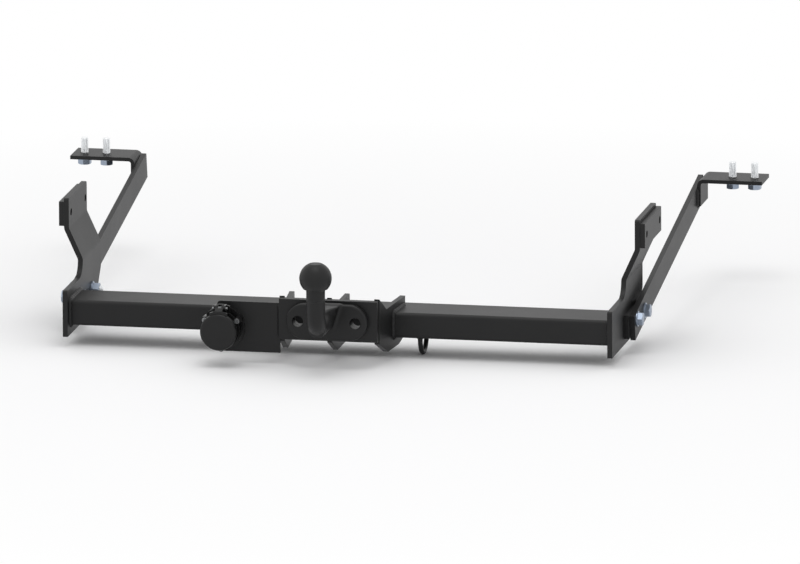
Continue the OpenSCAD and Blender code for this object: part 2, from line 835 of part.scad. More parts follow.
// Bead round a beam end, as four straight fillets and four turned corners
module beam_end_bead() translate([-beam_end, beam_depth / 2, beam_h / 2])
    rotate([90, 0, 90]) {
        w = beam_depth / 2 - beam_r;
        h = beam_h / 2 - beam_r;
        bead = [[beam_r, 0], [beam_r + weld, 0], [beam_r, weld]];
        for (side = [0, 1])
            rotate([0, 0, 180 * side]) {
                translate([-w, h, 0]) rotate([90, 0, 90]) linear_extrude(2 * w) polygon(bead);
                translate([w, -h, 0]) rotate([0, 0, -90])
                    rotate([90, 0, 90])
                        mirror([0, 0, 1])
                            linear_extrude(2 * h) polygon(bead);
                translate([w, h, 0]) rotate_extrude(angle = 90) polygon(bead);
                translate([-w, h, 0]) rotate([0, 0, 90]) rotate_extrude(angle = 90) polygon(bead);
            }
    }

module beam_welds() color(steel) from_beam() both_sides() beam_end_bead();

// Upright bead in plan between the plane y = 0 and a gusset face at x that
// splays; side is +1 where the bead lies outside the face
module upright_bead(x, splay, side, low, high) translate([x, 0, low])
    linear_extrude(high - low)
        polygon([[0, 0], [side * weld, 0], [-weld * tan(splay), -weld]]);

// Beads of one gusset on the beam, with its outer face at x on the near face
module gusset_beads(x, splay) {
    inner_x = x - gusset_t / cos(splay);
    upright_bead(x, splay, 1, beam_r, beam_h - beam_r);
    upright_bead(inner_x, splay, -1, beam_r, beam_h - beam_r);
    translate([x, 0, 0])
        rotate([0, 0, -splay])
            for (face = [0, 1])
                translate([-face * gusset_t, beam_r + weld_stop, 0])
                    mirror([face, 0, 0]) {
                        translate([0, 0, beam_h]) rotate([-90, 0, 0]) mirror([0, 1, 0])
                            fillet(gusset_back - 2 * beam_r);
                        rotate([-90, 0, 0]) fillet(gusset_foot - 2 * beam_r);
                    }
}

// Upright bead between the front plate's far face and a gusset face
module front_bead(x, side) translate([x, -gusset_reach, front_bottom + weld_stop])
    linear_extrude(front_top - front_bottom - 2 * weld_stop)
        polygon([[0, 0], [side * weld, 0], [weld * tan(gusset_splay), weld]]);

module gusset_welds() color(steel) from_beam() {
    side_inner = gusset_x - gusset_t / cos(gusset_splay) - gusset_reach * tan(gusset_splay);
    both_sides() {
        gusset_beads(gusset_x, gusset_splay);
        front_bead(side_inner, -1);
    }
    gusset_beads(gusset_t / 2, 0);
    both_sides()
        translate([gusset_t / 2, -gusset_reach, front_bottom + weld_stop])
            fillet(front_top - front_bottom - 2 * weld_stop);
    translate([-front_w / 2, sheet_face, front_bottom + weld_stop])
        rotate([0, 0, 180])
            fillet(sheet_top - front_bottom - 2 * weld_stop);
}

// Beads that hold a bracket's leg to its strut, at its foot and near edge
module bracket_bead() {
    foot = bracket_top - bracket_h;
    translate([strut_face, bracket_y + weld, foot])
        rotate([-90, 0, 0])
            fillet(bracket_setback - 2 * weld);
    translate([strut_face, bracket_y, foot])
        rotate([0, 0, -90])
            mirror([1, 0, 0])
                rotate([0, 0, 90])
                    fillet(bracket_h - bracket_r - bracket_t - weld);
}

module bracket_welds() color(steel) from_beam() both_sides() bracket_bead();

module eyelet_welds() color(steel) from_beam()
    for (side = [-1, 1])
        translate([eyelet_x, beam_depth / 2 + side * eyelet_r, 0])
            rotate_extrude()
                polygon([[eyelet_d / 2, 0], [eyelet_d / 2 + eyelet_weld, 0],
                         [eyelet_d / 2, -eyelet_weld]]);

module socket_gasket() color(rubber) at_socket()
    difference() {
        cylinder(r = socket_foot_r, h = gasket_t);
        translate([0, 0, -eps]) cylinder(r = mouth_r, h = gasket_t + 2 * eps);
        at_screws() translate([0, 0, -eps]) cylinder(d = screw_hole_d, h = gasket_t + 2 * eps);
    }

// Side view of one ear: it rises from the rim and rounds off over the pin
module ear_outline() {
    polygon([[rim_front - rim_t, socket_r], [rim_front, socket_r],
             [pin_front + knuckle_r, pin_z], [pin_front, pin_z + knuckle_r],
             [rim_front - rim_t, pin_z + knuckle_r]]);
    translate([pin_front, pin_z]) circle(knuckle_r);
}

// Outline drawn in the distance from the sheet and the height over the axis,
// drawn out along the hinge between x0 and x1
module along_hinge(x0, x1) translate([x0, 0, 0])
    rotate([0, -90, 180])
        mirror([0, 1, 0])
            linear_extrude(x1 - x0)
                children();

module pin_hole() translate([-pin_len, pin_z, pin_front])
    rod_x(pin_d + 2 * fit, 2 * pin_len);

module socket_housing() color(plastic) at_socket()
    difference() {
        union() {
            translate([0, 0, gasket_t]) cylinder(r = socket_foot_r, h = foot_t);
            translate([0, 0, gasket_t]) cylinder(r = socket_r, h = mouth_front - gasket_t);
            translate([0, 0, rim_front - rim_t]) cylinder(r = lid_r, h = rim_t);
            at_screws() translate([0, 0, gasket_t]) cylinder(d = boss_d, h = boss_front - gasket_t);
            intersection() {
                translate([0, 0, rim_front - rim_t]) cylinder(r = lug_r, h = rim_t / 2);
                translate([-lug_w / 2, 0, 0]) cube([lug_w, lug_r + eps, rim_front]);
            }
            for (side = [0, 1])
                mirror([side, 0, 0])
                    along_hinge(ear_x, ear_x + ear_t) ear_outline();
        }
        translate([0, 0, insert_front - insert_t]) cylinder(r = mouth_r, h = mouth_front);
        translate([0, 0, gasket_t - eps]) cylinder(r = mouth_r - insert_ledge, h = mouth_front);
        at_screws() {
            translate([0, 0, gasket_t - eps]) cylinder(d = screw_hole_d, h = rim_front);
            translate([0, 0, screw_seat]) cylinder(d = screw_head_d + head_gap, h = mouth_front);
        }
        pin_hole();
    }

module at_contacts() {
    children();
    for (i = [0:contact_count - 1])
        rotate([0, 0, 360 * i / contact_count])
            translate([contact_ring_r, 0, 0])
                children();
}

module contact_insert() color(plastic) at_socket()
    difference() {
        translate([0, 0, insert_front - insert_t]) cylinder(r = mouth_r - fit, h = insert_t);
        translate([0, 0, insert_front - insert_t - eps])
            at_contacts() cylinder(d = contact_d + 2 * fit, h = insert_t + 2 * eps);
    }

module contact_pins() color("#c9a24a") at_socket()
    at_contacts() {
        translate([0, 0, insert_front - insert_t])
            cylinder(d = contact_d, h = insert_t + contact_out - contact_tip);
        translate([0, 0, insert_front + contact_out - contact_tip])
            cylinder(d1 = contact_d, d2 = contact_d - 2 * contact_tip, h = contact_tip);
    }

module socket_screws() color(zinc) at_socket()
    at_screws() {
        translate([0, 0, -sheet_t - screw_d]) cylinder(d = screw_d, h = screw_seat + sheet_t + screw_d);
        difference() {
            translate([0, 0, screw_seat]) cylinder(d = screw_head_d, h = screw_head_h);
            translate([0, 0, screw_seat + screw_head_h / 2])
                for (a = [0, 90])
                    rotate([0, 0, a + slot_turn])
                        translate([-screw_d / 2, -slot_w / 2, 0])
                            cube([screw_d, slot_w, screw_head_h]);
        }
    }

module socket_nuts() color(zinc) at_socket()
    at_screws()
        translate([0, 0, -sheet_t])
            mirror([0, 0, 1])
                hex_nut(screw_nut_af, screw_nut_h, screw_d + 2 * fit);

// Rubber gland behind the sheet, with the hole that a cable leaves through
module cable_gland() color(rubber) at_socket()
    rotate_extrude()
        polygon([[cable_d / 2, gasket_t], [mouth_r - fit, gasket_t], [mouth_r - fit, -sheet_t],
                 [mouth_r + gland_lip, -sheet_t], [mouth_r + gland_lip, -sheet_t - gland_lip_t],
                 [mouth_r - 2 * gland_lip, -sheet_t - gland_lip_t - gland_lip],
                 [gland_end_d / 2, -gland_len + gland_end_len], [gland_end_d / 2, -gland_len],
                 [cable_d / 2, -gland_len]]);

module lid_hinge_pin() color(zinc) at_socket()
    translate([-pin_len / 2, pin_z, pin_front])
        rod_x(pin_d, pin_len);

// Wire of the lid's spring: rings of points along a helix round the pin
spring_rings_per_curl = 8;
spring_sides = 6;
spring_r = pin_d / 2 + lid_gap + wire_d / 2;
spring_len = arm_w - 2 * knuckle_w - wire_d - 2 * lid_gap;
spring_pitch = spring_len / spring_curls;
spring_rings = spring_curls * spring_rings_per_curl;
spring_slope = atan(spring_pitch / (2 * PI * spring_r));

function helix_angle(i) = 360 * i / spring_rings_per_curl;

function helix_point(i) = [
    spring_pitch * i / spring_rings_per_curl - spring_len / 2,
    spring_r * cos(helix_angle(i)),
    spring_r * sin(helix_angle(i))
];

function ring_point(i, k) =
    let (a = helix_angle(i), b = 360 * k / spring_sides,
         out = [0, cos(a), sin(a)],
         up = [cos(spring_slope), sin(spring_slope) * sin(a), -sin(spring_slope) * cos(a)])
    helix_point(i) + wire_d / 2 * (cos(b) * out + sin(b) * up);

function quad(a, b, c, d) = [[a, b, c], [a, c, d]];

spring_points = [for (i = [0:spring_rings], k = [0:spring_sides - 1]) ring_point(i, k)];
spring_faces = concat(
    [for (i = [0:spring_rings - 1], k = [0:spring_sides - 1])
        let (a = i * spring_sides + k, b = i * spring_sides + (k + 1) % spring_sides)
        each quad(a, b, b + spring_sides, a + spring_sides)],
    [for (k = [1:spring_sides - 2]) [0, k + 1, k]],
    [for (k = [1:spring_sides - 2])
        let (last = spring_rings * spring_sides)
        [last, last + k, last + k + 1]]
);
spring_gap = min([for (i = [0:spring_rings], j = [0:spring_rings])
    if (j - i >= spring_rings_per_curl / 2) norm(helix_point(i) - helix_point(j)) - wire_d]);

module lid_spring() color(zinc) at_socket() {
    echo(least_gap_of_spring = spring_gap);
    translate([0, pin_z, pin_front]) polyhedron(spring_points, spring_faces);
}

// Side view of the lid's arm, from the lid's back up and round the pin
module arm_outline() {
    front = pin_front + arm_inset;
    polygon([[lid_back, seal_r], [lid_back + tab_t, seal_r], [lid_back + tab_t, tab_r],
             [front, pin_z + knuckle_r - arm_inset], [front, pin_z - knuckle_r + arm_inset]]);
    translate([pin_front, pin_z]) circle(knuckle_r);
}

module socket_lid() color(plastic) at_socket()
    difference() {
        union() {
            translate([0, 0, lid_back]) cylinder(r = lid_r, h = lid_t - lid_bevel);
            translate([0, 0, lid_back + lid_t - lid_bevel])
                cylinder(r1 = lid_r, r2 = lid_r - lid_bevel, h = lid_bevel);
            intersection() {
                translate([0, 0, lid_back]) cylinder(r = tab_r, h = tab_t);
                translate([-lug_w / 2, 0, lid_back - eps]) cube([lug_w, tab_r + eps, tab_t + 2 * eps]);
            }
            along_hinge(-arm_w / 2, arm_w / 2) arm_outline();
        }
        translate([0, 0, lid_back - eps]) cylinder(r = seal_r, h = seal_t + eps);
        translate([-arm_w / 2 + knuckle_w, pin_z - 2 * knuckle_r, pin_front - 2 * knuckle_r])
            cube([arm_w - 2 * knuckle_w, 4 * knuckle_r, 3 * knuckle_r + eps]);
        pin_hole();
    }

module lid_seal() color(rubber) at_socket()
    difference() {
        translate([0, 0, lid_back]) cylinder(r = seal_r - fit, h = seal_t);
        translate([0, 0, lid_back - eps]) cylinder(r = mouth_r - seal_in, h = seal_t + 2 * eps);
    }

cross_beam();
on_side(-1) end_plate();  // end_plate_left
on_side(1) end_plate();  // end_plate_right
on_side(-1) backing_plate();  // backing_plate_left
on_side(1) backing_plate();  // backing_plate_right
on_side(-1) spacer();  // spacer_left
on_side(1) spacer();  // spacer_right
on_side(-1) strut();  // strut_left
on_side(1) strut();  // strut_right
strut_bolts();
strut_washers();
strut_nuts();
on_side(-1) top_bracket();  // top_bracket_left
on_side(1) top_bracket();  // top_bracket_right
chassis_bolts();
chassis_washers();
chassis_spring_washers();
on_side(-1) gusset_side();  // gusset_left
gusset_middle();
on_side(1) gusset_side();  // gusset_right
front_plate();
ball_flange();
socket_plate();
eyelet();
beam_welds();
gusset_welds();
bracket_welds();
eyelet_welds();
socket_gasket();
socket_housing();
contact_insert();
contact_pins();
socket_screws();
socket_nuts();
cable_gland();
lid_hinge_pin();
lid_spring();
socket_lid();
lid_seal();
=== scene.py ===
"""Looks of the bolt-on tow bar: a coated cross beam with its flange ball, socket, struts and bolts.

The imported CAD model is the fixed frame. Its nodes keep their shape and get rounded edges and
finishes, and finer pieces stand for the fasteners, welds, forging, spring and rubber gland.
Everything is in metres in the row frame: origin at the ball's centre, +Y forwards, +Z up.
"""

from math import cos, pi, radians, sin, tan

import bpy
import numpy as np
from mathutils import Matrix, Vector


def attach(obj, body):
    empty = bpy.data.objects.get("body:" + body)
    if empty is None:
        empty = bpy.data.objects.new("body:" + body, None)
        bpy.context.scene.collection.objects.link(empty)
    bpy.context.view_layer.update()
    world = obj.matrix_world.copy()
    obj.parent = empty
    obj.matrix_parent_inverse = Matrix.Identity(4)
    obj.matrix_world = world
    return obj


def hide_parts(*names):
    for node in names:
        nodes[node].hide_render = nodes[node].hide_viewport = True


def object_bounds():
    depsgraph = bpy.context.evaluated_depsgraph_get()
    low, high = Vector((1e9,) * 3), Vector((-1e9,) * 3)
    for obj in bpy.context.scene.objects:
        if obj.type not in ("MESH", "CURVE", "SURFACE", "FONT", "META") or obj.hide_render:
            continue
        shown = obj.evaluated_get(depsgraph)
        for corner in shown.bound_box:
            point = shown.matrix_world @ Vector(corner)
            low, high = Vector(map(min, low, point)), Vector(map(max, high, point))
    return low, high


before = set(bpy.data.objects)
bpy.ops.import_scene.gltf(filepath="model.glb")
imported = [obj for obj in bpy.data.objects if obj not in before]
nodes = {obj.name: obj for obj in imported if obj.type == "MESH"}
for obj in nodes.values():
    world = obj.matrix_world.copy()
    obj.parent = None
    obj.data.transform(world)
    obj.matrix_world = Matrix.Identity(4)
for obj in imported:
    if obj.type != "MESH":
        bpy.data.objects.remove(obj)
cad_low, cad_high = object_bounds()

MM = 0.001
REACH, RISE = 172.5, 129.0          # from the beam's near lower edge to the ball, mm


def from_beam(points):
    """Row-frame metres of beam-frame millimetres, whose origin is the beam's near lower edge."""
    return (np.asarray(points, float) + (0.0, REACH, -RISE)) * MM


# Meshes worked out on grids of points

def mesh_piece(name, parts, finish, body="bar", stands_for=(), smooth=40.0, other=None,
               others=()):
    """One object from several (points, faces) parts, in row-frame metres, riding on a body.

    The parts whose numbers are in others take the other finish.
    """
    points, faces, start = [], [], 0
    for p, f in parts:
        points.append(p)
        faces.extend((np.asarray(face) + start).tolist() for face in f)
        start += len(p)
    mesh = bpy.data.meshes.new(name)
    mesh.from_pydata(np.concatenate(points).tolist(), [], faces)
    mesh.materials.append(finish)
    if other:
        mesh.materials.append(other)
        pick = np.concatenate([np.full(len(f), int(k in others)) for k, (_, f) in enumerate(parts)])
        mesh.polygons.foreach_set("material_index", pick.astype(np.int32))
    piece = bpy.data.objects.new(name, mesh)
    bpy.context.scene.collection.objects.link(piece)
    soften(piece, smooth)
    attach(piece, body)
    if stands_for:
        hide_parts(*stands_for)
    return piece


def ring_faces(rings, sides, closed=False):
    """Four-cornered faces between neighbouring rings of points; closed joins the last to the first."""
    i, j = np.meshgrid(np.arange(rings if closed else rings - 1), np.arange(sides), indexing="ij")
    i, j = i.ravel(), j.ravel()
    i2, j2 = (i + 1) % rings, (j + 1) % sides
    return np.stack([i * sides + j, i * sides + j2, i2 * sides + j2, i2 * sides + j], 1).tolist()


def capped_faces(rings, sides):
    """The faces between the rings, and one flat face over the first ring and over the last."""
    rim = list(range(sides))
    return ring_faces(rings, sides) + [rim[::-1], [(rings - 1) * sides + k for k in rim]]


def turned(radii, heights, sides=48, closed=False):
    """A turned body round +Z: radius and height along its profile, swept round in equal steps.

    point = (r cos a, r sin a, z). A closed profile makes a ring, and an open one gets flat ends.
    """
    a = np.linspace(0, 2 * pi, sides, endpoint=False)
    r, z = np.asarray(radii, float), np.asarray(heights, float)
    p = np.stack([r[:, None] * np.cos(a), r[:, None] * np.sin(a),
                  np.broadcast_to(z[:, None], (len(z), sides))], 2)
    faces = ring_faces(len(z), sides, closed=True) if closed else capped_faces(len(z), sides)
    return p.reshape(-1, 3), faces


def placed(part, origin, x_axis, z_axis):
    """A part moved so that its own X and Z axes lie along the given directions at origin."""
    z = np.asarray(z_axis, float) / np.linalg.norm(z_axis)
    x = np.asarray(x_axis, float)
    x = x - (x @ z) * z
    x /= np.linalg.norm(x)
    turn = np.stack([x, np.cross(z, x), z], 1)
    return np.asarray(part[0]) @ turn.T + np.asarray(origin, float), part[1]


def turned_over(part):
    """The same part with its faces pointing the other way."""
    return part[0], [face[::-1] for face in part[1]]


def blended(a, b, width):
    """The lower of two distances, with a hollow fillet of about this width where they meet.

    share = 1/2 + (b - a) / (2 width), held to 0..1; b + (a - b) share - width share (1 - share).
    """
    share = np.clip(0.5 + 0.5 * (b - a) / width, 0.0, 1.0)
    return b + (a - b) * share - width * share * (1.0 - share)


def trimmed(a, b, width):
    """The higher of two distances, with its ridge rounded over about this width."""
    return -blended(-a, -b, width)


def slope_of(field, p, reach=0.02):
    """How a distance field changes along X, Y and Z at the points p, by central differences."""
    steps = np.eye(3) * reach
    return np.stack([(field(p + s) - field(p - s)) / (2 * reach) for s in steps], -1)


def skinned(field, low, high, step, rounds=5):
    """Closed mesh of all points where a distance field is zero.

    A box is cut into cubes of one step. Each cube whose corners differ in sign gets one point,
    and each cube edge whose ends differ gets one face from the four cubes round it. Every round
    evens the points out, each towards the middle of its neighbours, and then moves them down the
    slope onto the surface: p - field(p) slope / (slope . slope).
    """
    axes = [np.arange(a, b + step, step) for a, b in zip(low, high)]
    grid = np.stack(np.meshgrid(*axes, indexing="ij"), -1)
    inside = field(grid) < 0
    nx, ny, nz = (n - 1 for n in inside.shape)
    filled = sum(inside[i:nx + i, j:ny + j, k:nz + k].astype(int)
                 for i in (0, 1) for j in (0, 1) for k in (0, 1))
    crossed = (filled > 0) & (filled < 8)
    number = np.full(crossed.shape, -1)
    number[crossed] = np.arange(crossed.sum())
    points = grid[:-1, :-1, :-1][crossed] + step / 2
    faces = []
    for axis in range(3):
        state, cell = np.moveaxis(inside, axis, 0), np.moveaxis(number, axis, 0)
        start, end = state[:-1, 1:-1, 1:-1], state[1:, 1:-1, 1:-1]
        edge = start != end
        ring = np.stack([cell[:, :-1, :-1][edge], cell[:, 1:, :-1][edge],
                         cell[:, 1:, 1:][edge], cell[:, :-1, 1:][edge]], 1)
        outward = start[edge] if axis != 1 else end[edge]
        faces.append(np.where(outward[:, None], ring, ring[:, ::-1]))
    faces = np.concatenate(faces)
    one, other = faces.ravel(), np.roll(faces, -1, 1).ravel()
    share = np.bincount(np.r_[one, other], minlength=len(points))[:, None]
    for _ in range(rounds):
        total = np.stack([np.bincount(np.r_[one, other], np.r_[points[other, k], points[one, k]],
                                      len(points)) for k in range(3)], 1)
        points = 0.5 * points + 0.5 * total / share
        for _ in range(3):
            slope = slope_of(field, points)
            size = np.maximum((slope ** 2).sum(1), 0.05)
            points = points - (field(points) / size)[:, None] * slope
    return points, faces.tolist()


def bead(path, leg_a, leg_b, size, pitch=3.0, closed=False, seed=0.0):
    """A weld bead along a path: one convex section between two legs, carried along the path.

    Section: root + size (a A + b B) with a = 1 - v, b = v for v from 0 to 1, pushed out along
    A + B by a crown of sin(pi v). Ripples: the crown rises and falls once each pitch, later at
    its middle than at its toes, which makes the crescents. Open ends draw in on a quarter circle.
    The section goes on a little way into both plates. The seed shifts the slow waver in size.
    """
    points_a_pitch, section_points, sunk = 7, 11, 0.35
    path, leg_a, leg_b = (np.asarray(v, float) for v in (path, leg_a, leg_b))
    closing = path[:1] if closed else path[:0]
    run = np.r_[0.0, np.cumsum(np.linalg.norm(np.diff(np.r_[path, closing], axis=0), axis=1))]
    total = run[-1]
    count = int(total / pitch * points_a_pitch)
    u = np.linspace(0, total, count, endpoint=not closed)
    root, a, b = ([np.interp(u, run, np.r_[v, v[:1]][:len(run), k]) for k in range(3)]
                  for v in (path, leg_a, leg_b))
    root, a, b = (np.stack(v, 1)[:, None, :] for v in (root, a, b))
    v = np.linspace(0, 1, section_points)[None, :, None]
    turn = 2 * pi * round(total / pitch) / total
    crescent = turn * u[:, None, None] + 1.9 * np.sin(pi * v)
    wander = 0.035 * np.sin(turn * u / 3.7 + seed) + 0.025 * np.sin(turn * u / 1.9 + 2 * seed)
    ripple = 0.022 * (np.cos(crescent) + 0.35 * np.cos(2 * crescent + 0.6)) * np.sin(pi * v) ** 0.5
    crown = (0.16 + ripple) * np.sin(pi * v)
    draw = np.ones(count)
    if not closed:
        near = np.minimum(u, total - u) / size
        draw = np.sqrt(np.clip(1 - (1 - np.minimum(near, 1)) ** 2, 0.02, 1))
    scale = size * ((1 + wander) * draw)[:, None, None]
    section = root + scale * ((1 - v + crown) * a + (v + crown) * b)
    rings = np.concatenate([root - sunk * (a + b), section[:, :1] - sunk * b, section,
                            section[:, -1:] - sunk * a], 1)
    along = np.gradient(root[:, 0], axis=0)
    left_handed = (np.cross(a[:, 0], b[:, 0]) * along).sum(1).mean() < 0
    cols = rings.shape[1]
    faces = ring_faces(count, cols, closed=True) if closed else capped_faces(count, cols)
    part = rings.reshape(-1, 3), faces
    return turned_over(part) if left_handed else part


def wire_along(path, radius, sides=10):
    """A round wire: a circle of this radius carried square to the path, its ends closed flat.

    The circle's first direction is square to the path and to X, which the wire winds round.
    """
    path = np.asarray(path, float)
    along = np.gradient(path, axis=0)
    along /= np.linalg.norm(along, axis=1)[:, None]
    side = np.cross(along, (1.0, 0.0, 0.0))
    side /= np.linalg.norm(side, axis=1)[:, None]
    across = np.cross(along, side)
    a = np.linspace(0, 2 * pi, sides, endpoint=False)[None, :, None]
    rings = path[:, None] + radius * (np.cos(a) * side[:, None] + np.sin(a) * across[:, None])
    return rings.reshape(-1, 3), capped_faces(len(path), sides)


def soften(piece, angle):
    """Smooth shading over every edge flatter than angle in degrees, by a live modifier."""
    shading = bpy.data.node_groups.get("soft_edges") or soft_edges_group()
    step = piece.modifiers.new("soft_edges", "NODES")
    step.node_group = shading
    step[shading.interface.items_tree["Angle"].identifier] = radians(angle)


def soft_edges_group():
    """Geometry nodes: all faces smooth, and edges sharper than Angle kept sharp."""
    tree = bpy.data.node_groups.new("soft_edges", "GeometryNodeTree")
    face = tree.interface
    face.new_socket("Mesh", in_out="INPUT", socket_type="NodeSocketGeometry")
    limit = face.new_socket("Angle", in_out="INPUT", socket_type="NodeSocketFloat")
    limit.default_value = radians(30)
    face.new_socket("Mesh", in_out="OUTPUT", socket_type="NodeSocketGeometry")
    add, link = tree.nodes.new, tree.links.new
    start, end = add("NodeGroupInput"), add("NodeGroupOutput")
    smooth_faces, sharp_edges = add("GeometryNodeSetShadeSmooth"), add("GeometryNodeSetShadeSmooth")
    sharp_edges.domain = "EDGE"
    sharp_edges.inputs["Shade Smooth"].default_value = False
    slope, steep = add("GeometryNodeInputMeshEdgeAngle"), add("FunctionNodeCompare")
    steep.data_type, steep.operation = "FLOAT", "GREATER_THAN"
    link(slope.outputs["Unsigned Angle"], steep.inputs[0])
    link(start.outputs["Angle"], steep.inputs[1])
    link(start.outputs["Mesh"], smooth_faces.inputs["Geometry"])
    link(smooth_faces.outputs["Geometry"], sharp_edges.inputs["Geometry"])
    link(steep.outputs["Result"], sharp_edges.inputs["Selection"])
    link(sharp_edges.outputs["Geometry"], end.inputs["Mesh"])
    return tree


JOIN_REACH, FLAT_WITHIN, SHARP_FROM = 2e-6, radians(0.2), 30.0


def dress(name, finish, width=0.0, held=False):
    """A CAD node keeps its mesh and gets live modifiers and its finish.

    Its triangles are joined, flat fields become single faces, and sharp edges are rounded to
    width in mm, or to less where held to what fits. The normals of the wide faces win over those
    of the rounds, so that flat faces shade flat.
    """
    piece = nodes[name]
    join = piece.modifiers.new("join", "WELD")
    join.merge_threshold = JOIN_REACH
    if width:
        flat = piece.modifiers.new("flat_fields", "DECIMATE")
        flat.decimate_type = "DISSOLVE"
        flat.angle_limit = FLAT_WITHIN
        rounded = piece.modifiers.new("rounded", "BEVEL")
        rounded.limit_method = "ANGLE"
        rounded.angle_limit = radians(SHARP_FROM)
        rounded.width = width * MM
        rounded.segments = 2
        rounded.use_clamp_overlap = held
        rounded.miter_outer = "MITER_SHARP" if held else "MITER_ARC"
    soften(piece, SHARP_FROM)
    if width:
        even = piece.modifiers.new("flat_faces_shade_flat", "WEIGHTED_NORMAL")
        even.mode, even.keep_sharp = "FACE_AREA", True
    piece.data.materials.clear()
    piece.data.materials.append(finish)


# Finishes: shared effects first, then one material for each kind of surface

def group(name, inputs, outputs):
    """An empty shader node group with float inputs and the named outputs, and its two ends."""
    tree = bpy.data.node_groups.new(name, "ShaderNodeTree")
    for label, value in inputs:
        socket = tree.interface.new_socket(label, in_out="INPUT", socket_type="NodeSocketFloat")
        socket.default_value = value
    for label in outputs:
        tree.interface.new_socket(label, in_out="OUTPUT", socket_type="NodeSocketFloat")
    return tree, tree.nodes.new("NodeGroupInput"), tree.nodes.new("NodeGroupOutput")


def wire(tree, kind, links=(), **settings):
    """A node of one kind: settings by name, and its inputs given as values or as sockets."""
    node = tree.nodes.new(kind)
    for key, value in settings.items():
        setattr(node, key, value)
    for socket, source in links:
        target = node.inputs[socket]
        if isinstance(source, bpy.types.NodeSocket):
            tree.links.new(source, target)
        else:
            target.default_value = source
    return node


def ranged(tree, source, low, high, to_low, to_high):
    """The source's span low..high mapped to to_low..to_high and held there outside it."""
    node = wire(tree, "ShaderNodeMapRange",
                [("Value", source), ("From Min", low), ("From Max", high),
                 ("To Min", to_low), ("To Max", to_high)])
    return node.outputs["Result"]


def maths(tree, operation, a, b):
    """The result of one sum or comparison of two numbers or sockets."""
    return wire(tree, "ShaderNodeMath", [(0, a), (1, b)], operation=operation).outputs[0]


def grain_group():
    """Fine grain of a sprayed or moulded skin: a broad orange peel with small specks over it."""
    tree, start, end = group("skin_grain", [("Peel Scale", 400.0), ("Speck Scale", 2500.0),
                                            ("Speck Share", 0.4)], ["Height", "Cloud"])
    place = wire(tree, "ShaderNodeTexCoord").outputs["Object"]
    peel = wire(tree, "ShaderNodeTexNoise",
                [("Vector", place), ("Scale", start.outputs["Peel Scale"]), ("Detail", 2.0)])
    speck = wire(tree, "ShaderNodeTexNoise",
                 [("Vector", place), ("Scale", start.outputs["Speck Scale"]), ("Detail", 1.0)])
    cloud = wire(tree, "ShaderNodeTexNoise",
                 [("Vector", place), ("Scale", 9.0), ("Detail", 4.0), ("Roughness", 0.6)])
    fine = maths(tree, "MULTIPLY", speck.outputs["Fac"], start.outputs["Speck Share"])
    total = maths(tree, "ADD", peel.outputs["Fac"], fine)
    tree.links.new(total, end.inputs["Height"])
    tree.links.new(ranged(tree, cloud.outputs["Fac"], 0.35, 0.65, 0.0, 1.0), end.inputs["Cloud"])
    return tree


def edge_group():
    """Mask of rounded corners, for wear and a painted sheen: where the normal taken over a small radius
    leaves the true one.
    """
    tree, start, end = group("edge_wear_and_sheen", [("Radius", 0.0012), ("Patch Scale", 60.0)], ["Mask"])
    around = wire(tree, "ShaderNodeBevel", [("Radius", start.outputs["Radius"])], samples=6)
    flat = wire(tree, "ShaderNodeNewGeometry").outputs["Normal"]
    along = wire(tree, "ShaderNodeVectorMath", [(0, around.outputs["Normal"]), (1, flat)],
                 operation="DOT_PRODUCT").outputs["Value"]
    place = wire(tree, "ShaderNodeTexCoord").outputs["Object"]
    patch = wire(tree, "ShaderNodeTexNoise",
                 [("Vector", place), ("Scale", start.outputs["Patch Scale"]), ("Detail", 5.0)])
    edge = ranged(tree, along, 0.995, 0.9, 0.0, 1.0)
    broken = ranged(tree, patch.outputs["Fac"], 0.45, 0.62, 0.25, 1.0)
    tree.links.new(maths(tree, "MULTIPLY", edge, broken), end.inputs["Mask"])
    return tree


def dust_group():
    """Mask of thin settled dust: faces that look up, in uneven clouds."""
    tree, start, end = group("settled_dust", [("Cloud Scale", 14.0)], ["Mask"])
    geometry = wire(tree, "ShaderNodeNewGeometry")
    up = wire(tree, "ShaderNodeSeparateXYZ", [(0, geometry.outputs["Normal"])]).outputs["Z"]
    place = wire(tree, "ShaderNodeTexCoord").outputs["Object"]
    cloud = wire(tree, "ShaderNodeTexNoise",
                 [("Vector", place), ("Scale", start.outputs["Cloud Scale"]), ("Detail", 6.0),
                  ("Roughness", 0.65)])
    facing = ranged(tree, up, 0.2, 0.95, 0.0, 1.0)
    patch = ranged(tree, cloud.outputs["Fac"], 0.35, 0.7, 0.2, 1.0)
    tree.links.new(maths(tree, "MULTIPLY", facing, patch), end.inputs["Mask"])
    return tree


GRAIN, EDGES, DUST = grain_group(), edge_group(), dust_group()


def effect(tree, shared, **values):
    """One shared effect in a material, with this material's own numbers."""
    node = tree.nodes.new("ShaderNodeGroup")
    node.node_tree = shared
    for label, value in values.items():
        node.inputs[label.replace("_", " ")].default_value = value
    return node.outputs


def mixed(tree, share, first, second):
    """Colour between first and second by share."""
    node = tree.nodes.new("ShaderNodeMix")
    node.data_type = "RGBA"
    tree.links.new(share, node.inputs["Factor"])
    for socket, value in ((node.inputs[6], first), (node.inputs[7], second)):
        if isinstance(value, bpy.types.NodeSocket):
            tree.links.new(value, socket)
        else:
            socket.default_value = (*value, 1.0)
    return node.outputs[2]


def finish_of(name):
    """A new material with its tree and its shader."""
    material = bpy.data.materials.new(name)
    material.use_nodes = True
    return material, material.node_tree, material.node_tree.nodes["Principled BSDF"]


def bumped(tree, shader, height, strength, distance):
    """Relief by the height value, distance in metres."""
    bump = wire(tree, "ShaderNodeBump", [("Height", height), ("Strength", strength),
                                         ("Distance", distance)])
    tree.links.new(bump.outputs["Normal"], shader.inputs["Normal"])


